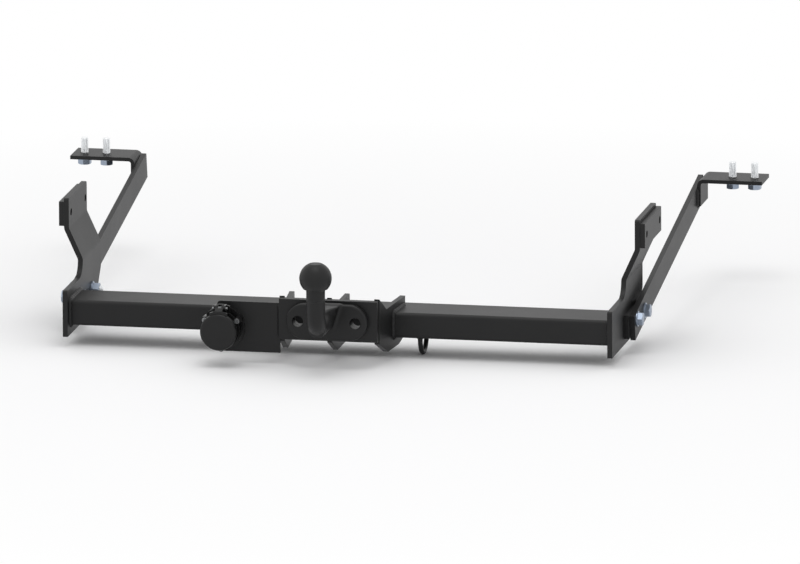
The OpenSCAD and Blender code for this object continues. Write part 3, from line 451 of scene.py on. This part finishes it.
def powder_coat():
    """Satin black powder coat: orange peel, cloudy gloss, and corners paler, partly worn thin and
    partly a painted sheen.
    """
    material, tree, shader = finish_of("satin_black_powder_coat")
    grain = effect(tree, GRAIN, Peel_Scale=520.0, Speck_Scale=2600.0, Speck_Share=0.35)
    edge = effect(tree, EDGES, Radius=0.0012, Patch_Scale=70.0)["Mask"]
    dust = effect(tree, DUST, Cloud_Scale=11.0)["Mask"]
    base = mixed(tree, grain["Cloud"], (0.0078, 0.0079, 0.0082), (0.0104, 0.0105, 0.0108))
    # Corners paler: thinner coat and a painted sheen.
    worn_and_sheened = mixed(tree, maths(tree, "MULTIPLY", edge, 0.5), base, (0.045, 0.045, 0.047))
    colour = mixed(tree, maths(tree, "MULTIPLY", dust, 0.04), worn_and_sheened, (0.21, 0.20, 0.19))
    tree.links.new(colour, shader.inputs["Base Color"])
    gloss = ranged(tree, grain["Cloud"], 0.0, 1.0, 0.42, 0.455)
    tree.links.new(maths(tree, "SUBTRACT", gloss, maths(tree, "MULTIPLY", edge, 0.06)),
                   shader.inputs["Roughness"])
    shader.inputs["IOR"].default_value = 1.36
    bumped(tree, shader, grain["Height"], 0.25, 0.0002)
    return material


def bare_metal(name, grain_numbers, tones, gloss, relief, rim=None):
    """Bare or plated metal, mottled between two tones, with a satin grain.

    rim is the radius in metres and the colour of the corners, rubbed and with a painted sheen.
    """
    material, tree, shader = finish_of(name)
    peel, speck, share = grain_numbers
    grain = effect(tree, GRAIN, Peel_Scale=peel, Speck_Scale=speck, Speck_Share=share)
    base = mixed(tree, grain["Cloud"], *tones)
    if rim:
        edge = effect(tree, EDGES, Radius=rim[0], Patch_Scale=160.0)["Mask"]
        # Corners paler: wear and a painted sheen.
        base = mixed(tree, edge, base, rim[1])
    tree.links.new(base, shader.inputs["Base Color"])
    shader.inputs["Metallic"].default_value = 1.0
    tree.links.new(ranged(tree, grain["Cloud"], 0.0, 1.0, *gloss), shader.inputs["Roughness"])
    bumped(tree, shader, grain["Height"], *relief)
    return material


def moulded_plastic():
    """Black glass-filled plastic with a fine spark-eroded grain."""
    material, tree, shader = finish_of("moulded_black_plastic")
    grain = effect(tree, GRAIN, Peel_Scale=1500.0, Speck_Scale=5200.0, Speck_Share=0.8)
    edge = effect(tree, EDGES, Radius=0.0008, Patch_Scale=120.0)["Mask"]
    base = mixed(tree, grain["Cloud"], (0.0060, 0.0060, 0.0062), (0.0085, 0.0085, 0.0087))
    # Corners paler: wear and a painted sheen.
    tree.links.new(mixed(tree, maths(tree, "MULTIPLY", edge, 0.4), base, (0.05, 0.05, 0.05)),
                   shader.inputs["Base Color"])
    tree.links.new(ranged(tree, grain["Cloud"], 0.0, 1.0, 0.27, 0.33), shader.inputs["Roughness"])
    shader.inputs["IOR"].default_value = 1.36
    bumped(tree, shader, grain["Height"], 0.3, 0.00006)
    return material


def soft_rubber():
    """Matt black rubber with a dry bloom."""
    material, tree, shader = finish_of("matt_black_rubber")
    grain = effect(tree, GRAIN, Peel_Scale=800.0, Speck_Scale=3000.0, Speck_Share=0.6)
    dust = effect(tree, DUST, Cloud_Scale=40.0)["Mask"]
    base = mixed(tree, grain["Cloud"], (0.010, 0.010, 0.010), (0.017, 0.017, 0.017))
    tree.links.new(mixed(tree, maths(tree, "MULTIPLY", dust, 0.08), base, (0.12, 0.12, 0.12)),
                   shader.inputs["Base Color"])
    tree.links.new(ranged(tree, grain["Cloud"], 0.0, 1.0, 0.68, 0.82), shader.inputs["Roughness"])
    bumped(tree, shader, grain["Height"], 0.3, 0.0001)
    return material


COAT, PLASTIC, RUBBER = powder_coat(), moulded_plastic(), soft_rubber()
# The rim colours pale the corners: wear and a painted sheen.
ZINC = bare_metal("blue_white_zinc", (900.0, 4200.0, 0.5), ((0.88, 0.895, 0.91), (0.95, 0.96, 0.965)),
                  (0.38, 0.50), (0.2, 0.00008), rim=(0.0006, (0.96, 0.965, 0.97)))
BLUE_ZINC = bare_metal("blued_zinc", (900.0, 4200.0, 0.5), ((0.28, 0.33, 0.41), (0.38, 0.43, 0.51)),
                       (0.30, 0.42), (0.2, 0.00008), rim=(0.0007, (0.62, 0.68, 0.76)))
DULL_ZINC = bare_metal("dulled_zinc", (1100.0, 5200.0, 0.6), ((0.23, 0.235, 0.24), (0.34, 0.345, 0.35)),
                       (0.42, 0.56), (0.25, 0.00008))
BRASS = bare_metal("bare_brass", (700.0, 3600.0, 0.4), ((0.62, 0.45, 0.18), (0.78, 0.60, 0.28)),
                   (0.22, 0.34), (0.15, 0.00005))

# CAD nodes that keep their own mesh

for plate in ("cross_beam", "end_plate_left", "end_plate_right", "backing_plate_left",
              "backing_plate_right", "spacer_left", "spacer_right", "strut_left", "strut_right",
              "top_bracket_left", "top_bracket_right", "front_plate", "socket_plate"):
    dress(plate, COAT, 0.6, held=True)
for rib in ("gusset_left", "gusset_middle", "gusset_right"):
    dress(rib, COAT, 0.9, held=True)
dress("eyelet", COAT)
for ring in ("strut_washers", "chassis_washers", "chassis_spring_washers"):
    dress(ring, BLUE_ZINC, 0.25)
for fixing in ("socket_screws", "socket_nuts", "lid_hinge_pin"):
    dress(fixing, DULL_ZINC, 0.2)
dress("socket_housing", PLASTIC, 0.3, held=True)
dress("socket_lid", PLASTIC, 0.3)
dress("contact_insert", PLASTIC, 0.2)
dress("contact_pins", BRASS, 0.15)
for soft in ("socket_gasket", "lid_seal"):
    dress(soft, RUBBER, 0.3)

# Threads, heads and nuts, in millimetres

BOLT_D, PITCH, ACROSS_FLATS, HEAD_H, NUT_H = 12.0, 1.75, 19.0, 7.5, 10.0
WASHER_T, PLATE_T, BRACKET_T = 2.5, 8.0, 6.0
STRUT_FACE, BEAM_END = 448.0, 424.0
STRUT_BOLTS_Y, STRUT_BOLT_Z, STRUT_BOLT_LEN, STRUT_BOLT_GRIP = (100.0, 160.0), 22.5, 45.0, 15.0
STUDS_X, STUD_LEN, STUD_GRIP, STUD_WASHERS_T = (499.0, 534.0), 35.0, 11.0, 5.0
STRUT_FOOT_Y, STRUT_FOOT_Z, STRUT_LEN, STRUT_H, RISE_ANGLE = 88, -9, 568, 40, radians(10.45)
strut_end_y = STRUT_FOOT_Y + STRUT_LEN * cos(RISE_ANGLE) - STRUT_H * sin(RISE_ANGLE)
strut_end_z = STRUT_FOOT_Z + STRUT_LEN * sin(RISE_ANGLE) + STRUT_H * cos(RISE_ANGLE)
BRACKET_BEFORE_END, BRACKET_HALF, BRACKET_ABOVE = 52, 30, 3.5
BRACKET_TOP = strut_end_z + BRACKET_ABOVE
STUD_Y = strut_end_y - BRACKET_BEFORE_END + BRACKET_HALF


def thread(diameter, pitch, low, high, sides=36, per_turn=8):
    """A threaded rod along +Z: the radius follows one groove that climbs a pitch each turn.

    radius = diameter / 2 - depth * groove(z / pitch - a / 2 pi), where groove is a triangle wave
    cut off at 0 and 1. A 45 degree chamfer runs to the root at the tip.
    """
    depth = 0.6 * pitch
    rows = int(np.ceil((high - low) / pitch * per_turn)) + 1
    z = np.linspace(low, high, rows)[:, None]
    a = np.linspace(0, 2 * pi, sides, endpoint=False)[None, :]
    phase = (z / pitch - a / (2 * pi)) % 1.0
    groove = np.clip(np.abs(phase - 0.5) * 2 * 1.25 - 0.125, 0.0, 1.0)
    r = diameter / 2 - depth * groove
    r = np.minimum(r, diameter / 2 - depth + np.clip(high - z, 0, depth))
    p = np.stack([r * np.cos(a), r * np.sin(a), np.broadcast_to(z, r.shape)], 2)
    return p.reshape(-1, 3), capped_faces(rows, sides)


def hexagon_body(across, low, high, bore=0.0, chamfer_low=False, chamfer_high=True, sides=96):
    """A hexagonal head or nut along +Z.

    Each end with a chamfer starts at a circle just inside the flats; a 30 degree cone runs from it
    until it meets the hexagon, so each flat ends in its curved arc. A bore makes it a ring.
    """
    a = np.linspace(0, 2 * pi, sides, endpoint=False)
    flat = across / 2 / np.cos((a + pi / 6) % (pi / 3) - pi / 6)
    start = across / 2 * 0.97
    dip = (flat - start) * tan(radians(30))
    rows = [(start, low)] * chamfer_low + [(flat, low + dip * chamfer_low)]
    rows += [(flat, high - dip * chamfer_high)] + [(start, high)] * chamfer_high
    rings = [np.stack([r * np.cos(a), r * np.sin(a), z + 0 * a], 1) for r, z in rows]
    if not bore:
        return np.concatenate(rings), capped_faces(len(rows), sides)
    rim, drop = bore + 0.7, 0.6
    for r, height in ((rim, high), (bore, high - drop), (bore, low + drop), (rim, low)):
        rings.append(np.stack([r * np.cos(a), r * np.sin(a), np.full(sides, height)], 1))
    return np.concatenate(rings), ring_faces(len(rings), sides, closed=True)


def bolt_parts(origin, axis, side_axis, washers, length, grip):
    """Head, plain shank and thread along axis, with the head's seat the washers' height before origin.

    The length and the grip, where the thread begins, count from the head's seat.
    """
    head = hexagon_body(ACROSS_FLATS, -HEAD_H, 0.0, chamfer_low=True, chamfer_high=False)
    shank = turned([BOLT_D / 2 - 0.55] * 2, [-0.2, grip], 36)
    tip = thread(BOLT_D - 0.04, PITCH, grip, length)
    return [placed((p - (0, 0, washers), f), origin, side_axis, axis) for p, f in (head, shank, tip)]


def in_rows(parts):
    """Beam-frame millimetre parts in row-frame metres."""
    return [(from_beam(p), f) for p, f in parts]


# Each head stands at the angle, in radians, at which the spanner left it.
NUT_SEAT = 3 * PLATE_T + WASHER_T
strut_bolts, strut_nuts, studs = [], [], []
for side in (-1, 1):
    for number, y in enumerate(STRUT_BOLTS_Y):
        at, inwards = (side * STRUT_FACE, y, STRUT_BOLT_Z), (-side, 0, 0)
        turn = (0, cos(0.35 + number), sin(0.35 + number))
        strut_bolts += bolt_parts(at, inwards, turn, WASHER_T, STRUT_BOLT_LEN, STRUT_BOLT_GRIP)
        nut = hexagon_body(ACROSS_FLATS, NUT_SEAT, NUT_SEAT + NUT_H, bore=BOLT_D / 2 + 0.05,
                           chamfer_low=True)
        strut_nuts.append(placed(nut, at, turn, inwards))
    for number, x in enumerate(STUDS_X):
        at = (side * x, STUD_Y, BRACKET_TOP - BRACKET_T)
        turn = (cos(0.2 + 0.8 * number), sin(0.2 + 0.8 * number), 0)
        studs += bolt_parts(at, (0, 0, 1), turn, STUD_WASHERS_T, STUD_LEN, STUD_GRIP)
EVERY_HEAD = range(0, len(studs), 3)
mesh_piece("strut_bolts_threaded", in_rows(strut_bolts), ZINC,
           stands_for=["strut_bolts"], smooth=35, other=BLUE_ZINC, others=EVERY_HEAD)
mesh_piece("strut_nuts_chamfered", in_rows(strut_nuts), BLUE_ZINC,
           stands_for=["strut_nuts"], smooth=35)
mesh_piece("chassis_bolts_threaded", in_rows(studs), ZINC,
           stands_for=["chassis_bolts"], smooth=35, other=BLUE_ZINC, others=EVERY_HEAD)

# Forged ball flange, in millimetres

BALL_AXIS = np.array([0.0, -REACH, RISE])
SHANK_R, BEND_R, BEND_Y, BEND_Z, SHANK_Z = 14.5, 25.0, -147.5, 73.0, 48.0
SLIM_FROM, SLIM_RUN, SLIM_SHARE = -142.0, 45.0, 0.28
FLANGE_BACK, FLANGE_FRONT, FLANGE_Z, FLANGE_R, FLANGE_HALF = -82.0, -95.0, 42.0, 28.0, 35.5
FLANGE_EDGE_R, HOLE_X, HOLE_R, NECK_TOP = 3.0, 45.0, 8.5, 93.5
WEB_TOP, WEB_FOOT, WEB_FRONT, WEB_BACK, WEB_HALF, WEB_TAPER = 69.5, 34.5, -164.0, -88.0, 13.6, 0.344
RIDGE_HALF, RIDGE_FLARE, FLARE_RUN = 3.0, 17.5, 24.0
OUT_OF_REACH = 1000.0


def shank_distance(x, y, z):
    """Distance to the shank: to its centre line less its radius.

    The centre line is an upright, a quarter circle and a level run, and the run is drawn in
    sideways towards the flange by a smooth step.
    """
    t = np.clip((y - SLIM_FROM) / SLIM_RUN, 0.0, 1.0)
    slim = 1.0 - SLIM_SHARE * t * t * (3.0 - 2.0 * t)
    q = x / slim
    upright = np.hypot(np.hypot(q, y + REACH), np.minimum(z - BEND_Z, 0.0))
    run = np.hypot(np.hypot(q, z - SHANK_Z), np.minimum(y - BEND_Y, 0.0))
    bent = np.hypot(np.hypot(y - BEND_Y, z - BEND_Z) - BEND_R, q)
    bent = np.where((y < BEND_Y) & (z < BEND_Z), bent, OUT_OF_REACH)
    return (np.minimum(np.minimum(upright, run), bent) - SHANK_R) * slim


def web_distance(x, y, z):
    """Distance to the web in the shank's crook.

    Its half width runs from the shank's side up to a ridge, whose own half width grows towards
    the flange as 1 / (1 + distance cubed), and tapers below the shank's middle.
    """
    back = np.clip(FLANGE_FRONT - y, 0.0, 80.0) / FLARE_RUN
    ridge = RIDGE_HALF + RIDGE_FLARE / (1.0 + back ** 3)
    above = WEB_HALF + (ridge - WEB_HALF) * (z - SHANK_Z) / (WEB_TOP - SHANK_Z)
    half = np.where(z > SHANK_Z, above, WEB_HALF - WEB_TAPER * (SHANK_Z - z))
    web = trimmed((x - half) * 0.96, z - WEB_TOP, 3.5)
    web = trimmed(web, WEB_FOOT - z, 4.0)
    return np.maximum(np.maximum(web, WEB_FRONT - y), y - WEB_BACK)


def flange_distance(x, y, z):
    """Distance to the flange: a pill with a rounded front edge."""
    pill = np.hypot(np.maximum(x - FLANGE_HALF, 0.0), z - FLANGE_Z) - FLANGE_R
    out, front = pill + FLANGE_EDGE_R, FLANGE_FRONT - y + FLANGE_EDGE_R
    edge = np.hypot(np.maximum(out, 0.0), np.maximum(front, 0.0)) - FLANGE_EDGE_R
    return np.maximum(np.minimum(np.maximum(out, front), 0.0) + edge, y - FLANGE_BACK)


def forging(p):
    """Distance to the skin of shank, web and flange together, less the holes and the cut ends."""
    x, y, z = np.abs(p[..., 0]), p[..., 1], p[..., 2]
    body = blended(shank_distance(x, y, z), web_distance(x, y, z), 3.5)
    body = blended(body, flange_distance(x, y, z), 7.0)
    body = trimmed(body, HOLE_R - np.hypot(x - HOLE_X, z - FLANGE_Z), 1.2)
    body = trimmed(body, y - FLANGE_BACK, 0.8)
    return trimmed(body, z - NECK_TOP, 0.6)


BALL_R, BALL_FOOT_R, BALL_TOP_R, BALL_TOP_Z = 25.0, 16.5, 9.3, 23.0


def arc(centre, radius, start, end, count):
    """Points of an arc round centre, angles in degrees."""
    a = np.radians(np.linspace(start, end, count))
    return np.stack([centre[0] + radius * np.cos(a), centre[1] + radius * np.sin(a)], 1)


def turned_ball():
    """Ball, neck and shoulder ring as one turned profile, from the ring's foot to the flat top."""
    hollow = np.sqrt(BALL_R ** 2 - BALL_FOOT_R ** 2) - 0.4 - SHANK_R
    top = 90 - np.degrees(np.arcsin(BALL_TOP_R / BALL_R))
    low = -np.degrees(np.arcsin(BALL_FOOT_R / BALL_R))
    profile = np.concatenate([
        [(SHANK_R - 0.6, -36.0), (SHANK_R, -36.0)],
        arc((SHANK_R + 0.6, -34.6), 0.4, -60, 0, 4), arc((SHANK_R + 0.6, -33.4), 0.4, 0, 60, 4),
        [(SHANK_R, -32.0), (SHANK_R, -26.0)],
        arc((SHANK_R + hollow, -BALL_FOOT_R - hollow), hollow, 180, 90, 10),
        arc((0, 0), BALL_R, low, top, 60), [(8.8, BALL_TOP_Z), (8.0, BALL_TOP_Z)]])
    profile[:, 1] = np.minimum(profile[:, 1], BALL_TOP_Z)
    return turned(profile[:, 0], profile[:, 1], 96)


ball_points, ball_faces = turned_ball()
BOX_LOW, BOX_HIGH, CUBE = (-66.0, -190.0, 11.0), (66.0, -79.0, 96.0), 0.9
forged = skinned(forging, BOX_LOW, BOX_HIGH, CUBE)
mesh_piece("ball_flange_forged", in_rows([(ball_points + BALL_AXIS, ball_faces), forged]), COAT,
           stands_for=["ball_flange"], smooth=38)

# Weld beads, in millimetres

WELD, EYELET_WELD, GUSSET_T, SPLAY = 4.0, 3.0, 8.0, radians(5.4)
BEAM_DEPTH, BEAM_H, BEAM_R = 80.0, 40.0, 6.0
FRONT_HALF, FRONT_NEAR, FRONT_FAR, FRONT_FOOT = 154.0 / 2, -74, -70, 12
GUSSET_X = FRONT_HALF + 1.4 - FRONT_FAR * tan(SPLAY)
INNER_X = GUSSET_X - GUSSET_T / cos(SPLAY)
UNDER_END, OVER_END, PLATE_BEAD_TOP, SHEET_BEAD_TOP = 46.0, 59.0, 72, 63.4
BRACKET_DROP, LEVEL_BEAD, UPRIGHT_BEAD = 43.0, (4, 48), 29
EYELET_X, EYELET_Y, EYELET_HALF, ROD_R = 124.5, 40, 24.0, 3.75


def beam_outline(count=9):
    """Beam section as points (y, z) with their outward normals, once round from the near foot."""
    corners = [((BEAM_R, BEAM_H - BEAM_R), 180, 90),
               ((BEAM_DEPTH - BEAM_R, BEAM_H - BEAM_R), 90, 0),
               ((BEAM_DEPTH - BEAM_R, BEAM_R), 0, -90), ((BEAM_R, BEAM_R), -90, -180)]
    points, normals = [], []
    for centre, start, end in corners:
        out = arc((0, 0), 1.0, start, end, count)
        points.append(np.asarray(centre) + BEAM_R * out)
        normals.append(out)
    return np.concatenate(points), np.concatenate(normals)


def gusset_bead(x, splay, out, seed):
    """Bead along one gusset face, from under the beam up its near face and back over its top."""
    out_low = arc((0, 0), 1.0, -90, -180, 8)
    low = BEAM_R + BEAM_R * out_low
    high = np.stack([low[::-1, 0], BEAM_H - low[::-1, 1]], 1)
    yz = np.concatenate([[(UNDER_END, 0.0)], low, high, [(OVER_END, BEAM_H)]])
    out_high = np.stack([out_low[::-1, 0], -out_low[::-1, 1]], 1)
    normal = np.concatenate([[(0.0, -1.0)], out_low, out_high, [(0.0, 1.0)]])
    path = np.c_[x + yz[:, 0] * tan(splay), yz]
    face = np.tile((out * cos(splay), -out * sin(splay), 0.0), (len(path), 1))
    return bead(path, face, np.c_[np.zeros(len(path)), normal], WELD, seed=seed)


def straight_bead(start, end, leg_a, leg_b, seed):
    """Bead in the straight corner from start to end between the two legs' plates."""
    return bead([start, end], [leg_a] * 2, [leg_b] * 2, WELD, seed=seed)


outline, outward = beam_outline()
around = np.c_[np.zeros(len(outline)), outline]
around_out = np.c_[np.zeros(len(outline)), outward]
foot, near = BRACKET_TOP - BRACKET_DROP, STUD_Y - BRACKET_HALF
beam_beads, gusset_beads, bracket_beads, eyelet_beads = [], [], [], []
for side in (-1, 1):
    inwards, outwards = (-side, 0, 0), (side, 0, 0)
    beam_beads.append(bead(around + (side * BEAM_END, 0, 0), around_out,
                           np.tile(inwards, (len(around), 1)), WELD, closed=True, seed=side))
    splay = side * SPLAY
    gusset_beads += [gusset_bead(side * GUSSET_X, splay, side, 1.0 + side),
                     gusset_bead(side * INNER_X, splay, -side, 2.0 + side),
                     gusset_bead(side * GUSSET_T / 2, 0.0, side, 3.0 + side)]
    outer, middle = side * (INNER_X + FRONT_FAR * tan(SPLAY)), side * GUSSET_T / 2
    gusset_beads += [
        straight_bead((outer, FRONT_FAR, FRONT_FOOT), (outer, FRONT_FAR, PLATE_BEAD_TOP), inwards,
                      (0, 1, 0), 4.0 + side),
        straight_bead((middle, FRONT_FAR, FRONT_FOOT), (middle, FRONT_FAR, PLATE_BEAD_TOP), outwards,
                      (0, 1, 0), 5.0 + side)]
    face = side * STRUT_FACE
    bracket_beads += [
        straight_bead((face, near + LEVEL_BEAD[0], foot), (face, near + LEVEL_BEAD[1], foot), outwards,
                      (0, 0, -1), 6.0 + side),
        straight_bead((face, near, foot), (face, near, foot + UPRIGHT_BEAD), outwards, (0, -1, 0),
                      7.0 + side)]
    a = np.linspace(0, 2 * pi, 32, endpoint=False)
    ring = np.stack([np.cos(a), np.sin(a), np.zeros(32)], 1)
    eyelet_beads.append(bead(ring * ROD_R + (EYELET_X, EYELET_Y + side * EYELET_HALF, 0), ring,
                             np.tile((0.0, 0.0, -1.0), (32, 1)), EYELET_WELD, pitch=2.6,
                             closed=True, seed=side))
gusset_beads.append(straight_bead((-FRONT_HALF, FRONT_NEAR, FRONT_FOOT),
                                  (-FRONT_HALF, FRONT_NEAR, SHEET_BEAD_TOP),
                                  (-1, 0, 0), (0, -1, 0), 8.0))
for label, beads in (("beam_welds", beam_beads), ("gusset_welds", gusset_beads),
                     ("bracket_welds", bracket_beads), ("eyelet_welds", eyelet_beads)):
    mesh_piece(label + "_rippled", in_rows(beads), COAT, stands_for=[label],
               smooth=50)

# Socket: gland behind the sheet and the lid's edge and spring, in millimetres

SOCKET = np.array([-165.5, -74.0, 24.5])


def at_socket(part):
    """From the socket's own millimetres (X right, Y up, Z out to the trailer) to the beam frame."""
    p = np.asarray(part[0])
    return np.stack([p[:, 0], -p[:, 2], p[:, 1]], 1) + SOCKET, part[1]


CABLE_BORE_R, CONE_LOW_R, CONE_TIP_R, RIBS, RIB_DEPTH = 4.5, 17.0, 9.0, 4, 0.9


def ribbed_gland():
    """Rubber gland: a flanged plug, then a cone whose radius dips in four rings, then its bore.

    cone radius = low + (tip - low) t - dip (1 - cos(2 pi ribs t)) / 2, for t from 0 to 1.
    """
    t = np.linspace(0, 1, 60)
    cone = CONE_LOW_R + (CONE_TIP_R - CONE_LOW_R) * t
    cone = cone - RIB_DEPTH * (0.5 - 0.5 * np.cos(2 * pi * RIBS * t))
    plug = [(CABLE_BORE_R, 2.0), (20.6, 2.0), (20.95, 1.6), (20.95, -4.0), (22.6, -4.0), (23.0, -4.4),
            (23.0, -6.6), (22.6, -7.0)]
    end = [(CONE_TIP_R, -29.6), (8.6, -30.0), (4.9, -30.0), (CABLE_BORE_R, -29.6)]
    profile = np.concatenate([plug, np.stack([cone, -9.0 - 13.0 * t], 1), end])
    return turned(profile[:, 0], profile[:, 1], 64, closed=True)


EDGE_R = 4.0


def crowned_edge():
    """Ring on the lid's bevelled edge that makes it round.

    Section: a quarter circle from the face to the side, closed along the bevel under it.
    """
    profile = np.concatenate([arc((24.8, 40.0), EDGE_R, 90, 0, 12), [(28.6, 39.9), (24.9, 43.7)]])
    return turned(profile[:, 0], profile[:, 1], 96, closed=True)


mesh_piece("cable_gland_ribbed", in_rows([at_socket(turned_over(ribbed_gland()))]), RUBBER,
           stands_for=["cable_gland"], smooth=35)
mesh_piece("lid_rounded_edge", in_rows([at_socket(turned_over(crowned_edge()))]), PLASTIC,
           body="lid", smooth=50)

PIN_Y, PIN_Z, COIL_R, COIL_HALF, COIL_TURNS, WIRE_R = 35.0, 27.0, 2.75, 2.25, 3, 0.42
turns = np.linspace(0, 2 * pi * COIL_TURNS, 73)
coil = np.stack([np.linspace(-COIL_HALF, COIL_HALF, 73), PIN_Y + COIL_R * np.cos(turns),
                 PIN_Z + COIL_R * np.sin(turns)], 1)
housing_leg = [(-COIL_HALF, y, z) for y, z in ((27.0, 22.8), (31.0, 23.3), (35.0, 24.0), (36.4, 24.2),
                                               (37.4, 25.0), (37.75, 26.2))]
lid_leg = [(COIL_HALF, y, z) for y, z in ((37.75, 26.9), (37.7, 28.0), (37.0, 29.4), (35.5, 30.4),
                                          (33.0, 30.75), (30.5, 30.9))]
wound = wire_along(np.concatenate([housing_leg, coil]), WIRE_R)
mesh_piece("lid_spring_wound", in_rows([at_socket(wound)]), DULL_ZINC,
           stands_for=["lid_spring"], smooth=60)
mesh_piece("lid_spring_leg", in_rows([at_socket(wire_along(lid_leg, WIRE_R))]), DULL_ZINC,
           body="lid", smooth=60)

# Floor, light and camera, in metres

FLOOR_Z, FLOOR_HALF = cad_low.z, 60
WHITE_FROM, WHITE_AT = 0.6, 1.6
SKY_LOW, SKY_HIGH = 0.50, 1.08


def seen_or_mirrored(tree):
    """1 where a ray comes from the camera, a mirror or glass, 0 where it only lights something."""
    ray = wire(tree, "ShaderNodeLightPath").outputs
    mirrored = maths(tree, "MAXIMUM", ray["Is Glossy Ray"], ray["Is Transmission Ray"])
    return maths(tree, "MAXIMUM", ray["Is Camera Ray"], mirrored)


def white_floor():
    """Pale floor with its shadow: whiter where it is seen, and plain white far from the part."""
    material, tree, shader = finish_of("white_floor")
    seen = seen_or_mirrored(tree)
    tree.links.new(mixed(tree, seen, (0.82, 0.82, 0.825), (0.94, 0.94, 0.945)),
                   shader.inputs["Base Color"])
    shader.inputs["Roughness"].default_value = 0.9
    shader.inputs["Specular IOR Level"].default_value = 0.0
    place = wire(tree, "ShaderNodeTexCoord").outputs["Object"]
    away = wire(tree, "ShaderNodeVectorMath", [(0, place), (1, (0.0, 0.3, FLOOR_Z))],
                operation="DISTANCE").outputs["Value"]
    far = ranged(tree, away, WHITE_FROM, WHITE_AT, 0.0, 1.0)
    share = maths(tree, "MULTIPLY", seen, far)
    white = wire(tree, "ShaderNodeEmission")
    blend = wire(tree, "ShaderNodeMixShader", [(0, share)])
    tree.links.new(shader.outputs[0], blend.inputs[1])
    tree.links.new(white.outputs[0], blend.inputs[2])
    tree.links.new(blend.outputs[0], tree.nodes["Material Output"].inputs["Surface"])
    return material


floor_mesh = bpy.data.meshes.new("studio_floor")
floor_mesh.from_pydata([(x * FLOOR_HALF, y * FLOOR_HALF, FLOOR_Z)
                        for x, y in ((-1, -1), (1, -1), (1, 1), (-1, 1))], [], [(0, 1, 2, 3)])
floor_mesh.materials.append(white_floor())
studio_floor = bpy.data.objects.new("studio_floor", floor_mesh)
bpy.context.scene.collection.objects.link(studio_floor)


def studio_world():
    """Soft sky that lights from all round, most from overhead, plain white where it is seen."""
    world = bpy.data.worlds.new("studio_sky")
    world.use_nodes = True
    tree = world.node_tree
    ground = tree.nodes["Background"]
    ground.inputs["Color"].default_value = (1, 1, 1, 1)
    direction = wire(tree, "ShaderNodeTexCoord").outputs["Generated"]
    height = wire(tree, "ShaderNodeSeparateXYZ", [(0, direction)]).outputs["Z"]
    overhead = ranged(tree, height, 0.0, 1.0, SKY_LOW, SKY_HIGH)
    shown = wire(tree, "ShaderNodeMix", [(0, seen_or_mirrored(tree)), (2, overhead), (3, 1.0)])
    tree.links.new(shown.outputs[0], ground.inputs["Strength"])
    return world


scene = bpy.context.scene
scene.world = studio_world()


def soft_box(name, place, target, size, power):
    """A square area lamp at place that faces target."""
    lamp = bpy.data.lights.new(name, "AREA")
    lamp.shape, lamp.size, lamp.energy = "SQUARE", size, power
    box = bpy.data.objects.new(name, lamp)
    box.location = place
    box.rotation_euler = (Vector(target) - Vector(place)).to_track_quat("-Z", "Y").to_euler()
    scene.collection.objects.link(box)


soft_box("top_soft_box", place=(0.05, -0.45, 3.0), target=(0.0, 0.1, 0.0), size=1.6, power=16.0)

AZIMUTH, ELEVATION, ROLL = radians(11.689), radians(12.6117), radians(0.3591)
DISTANCE, ASIDE, ABOVE = 39.3456, 0.09394, 0.08308
LENS_MM, SENSOR_MM = 1150.0, 36.0
camera_data = bpy.data.cameras.new("photo_camera")
camera_data.lens, camera_data.sensor_width = LENS_MM, SENSOR_MM
camera_data.clip_start, camera_data.clip_end = 5.0, 200.0
camera = bpy.data.objects.new("photo_camera", camera_data)
scene.collection.objects.link(camera)
scene.camera = camera
forward = np.array([-sin(AZIMUTH) * cos(ELEVATION), cos(AZIMUTH) * cos(ELEVATION), -sin(ELEVATION)])
level = np.array([cos(AZIMUTH), sin(AZIMUTH), 0.0])
upright = np.cross(level, forward)
right = cos(ROLL) * level - sin(ROLL) * upright
up = sin(ROLL) * level + cos(ROLL) * upright
place = from_beam([0, 0, 0]) - DISTANCE * forward + ASIDE * right + ABOVE * up
camera.matrix_world = Matrix.Translation(place) @ Matrix(
    [(r, u, -f) for r, u, f in zip(right, up, forward)]).to_4x4()

scene.view_settings.view_transform = "Standard"
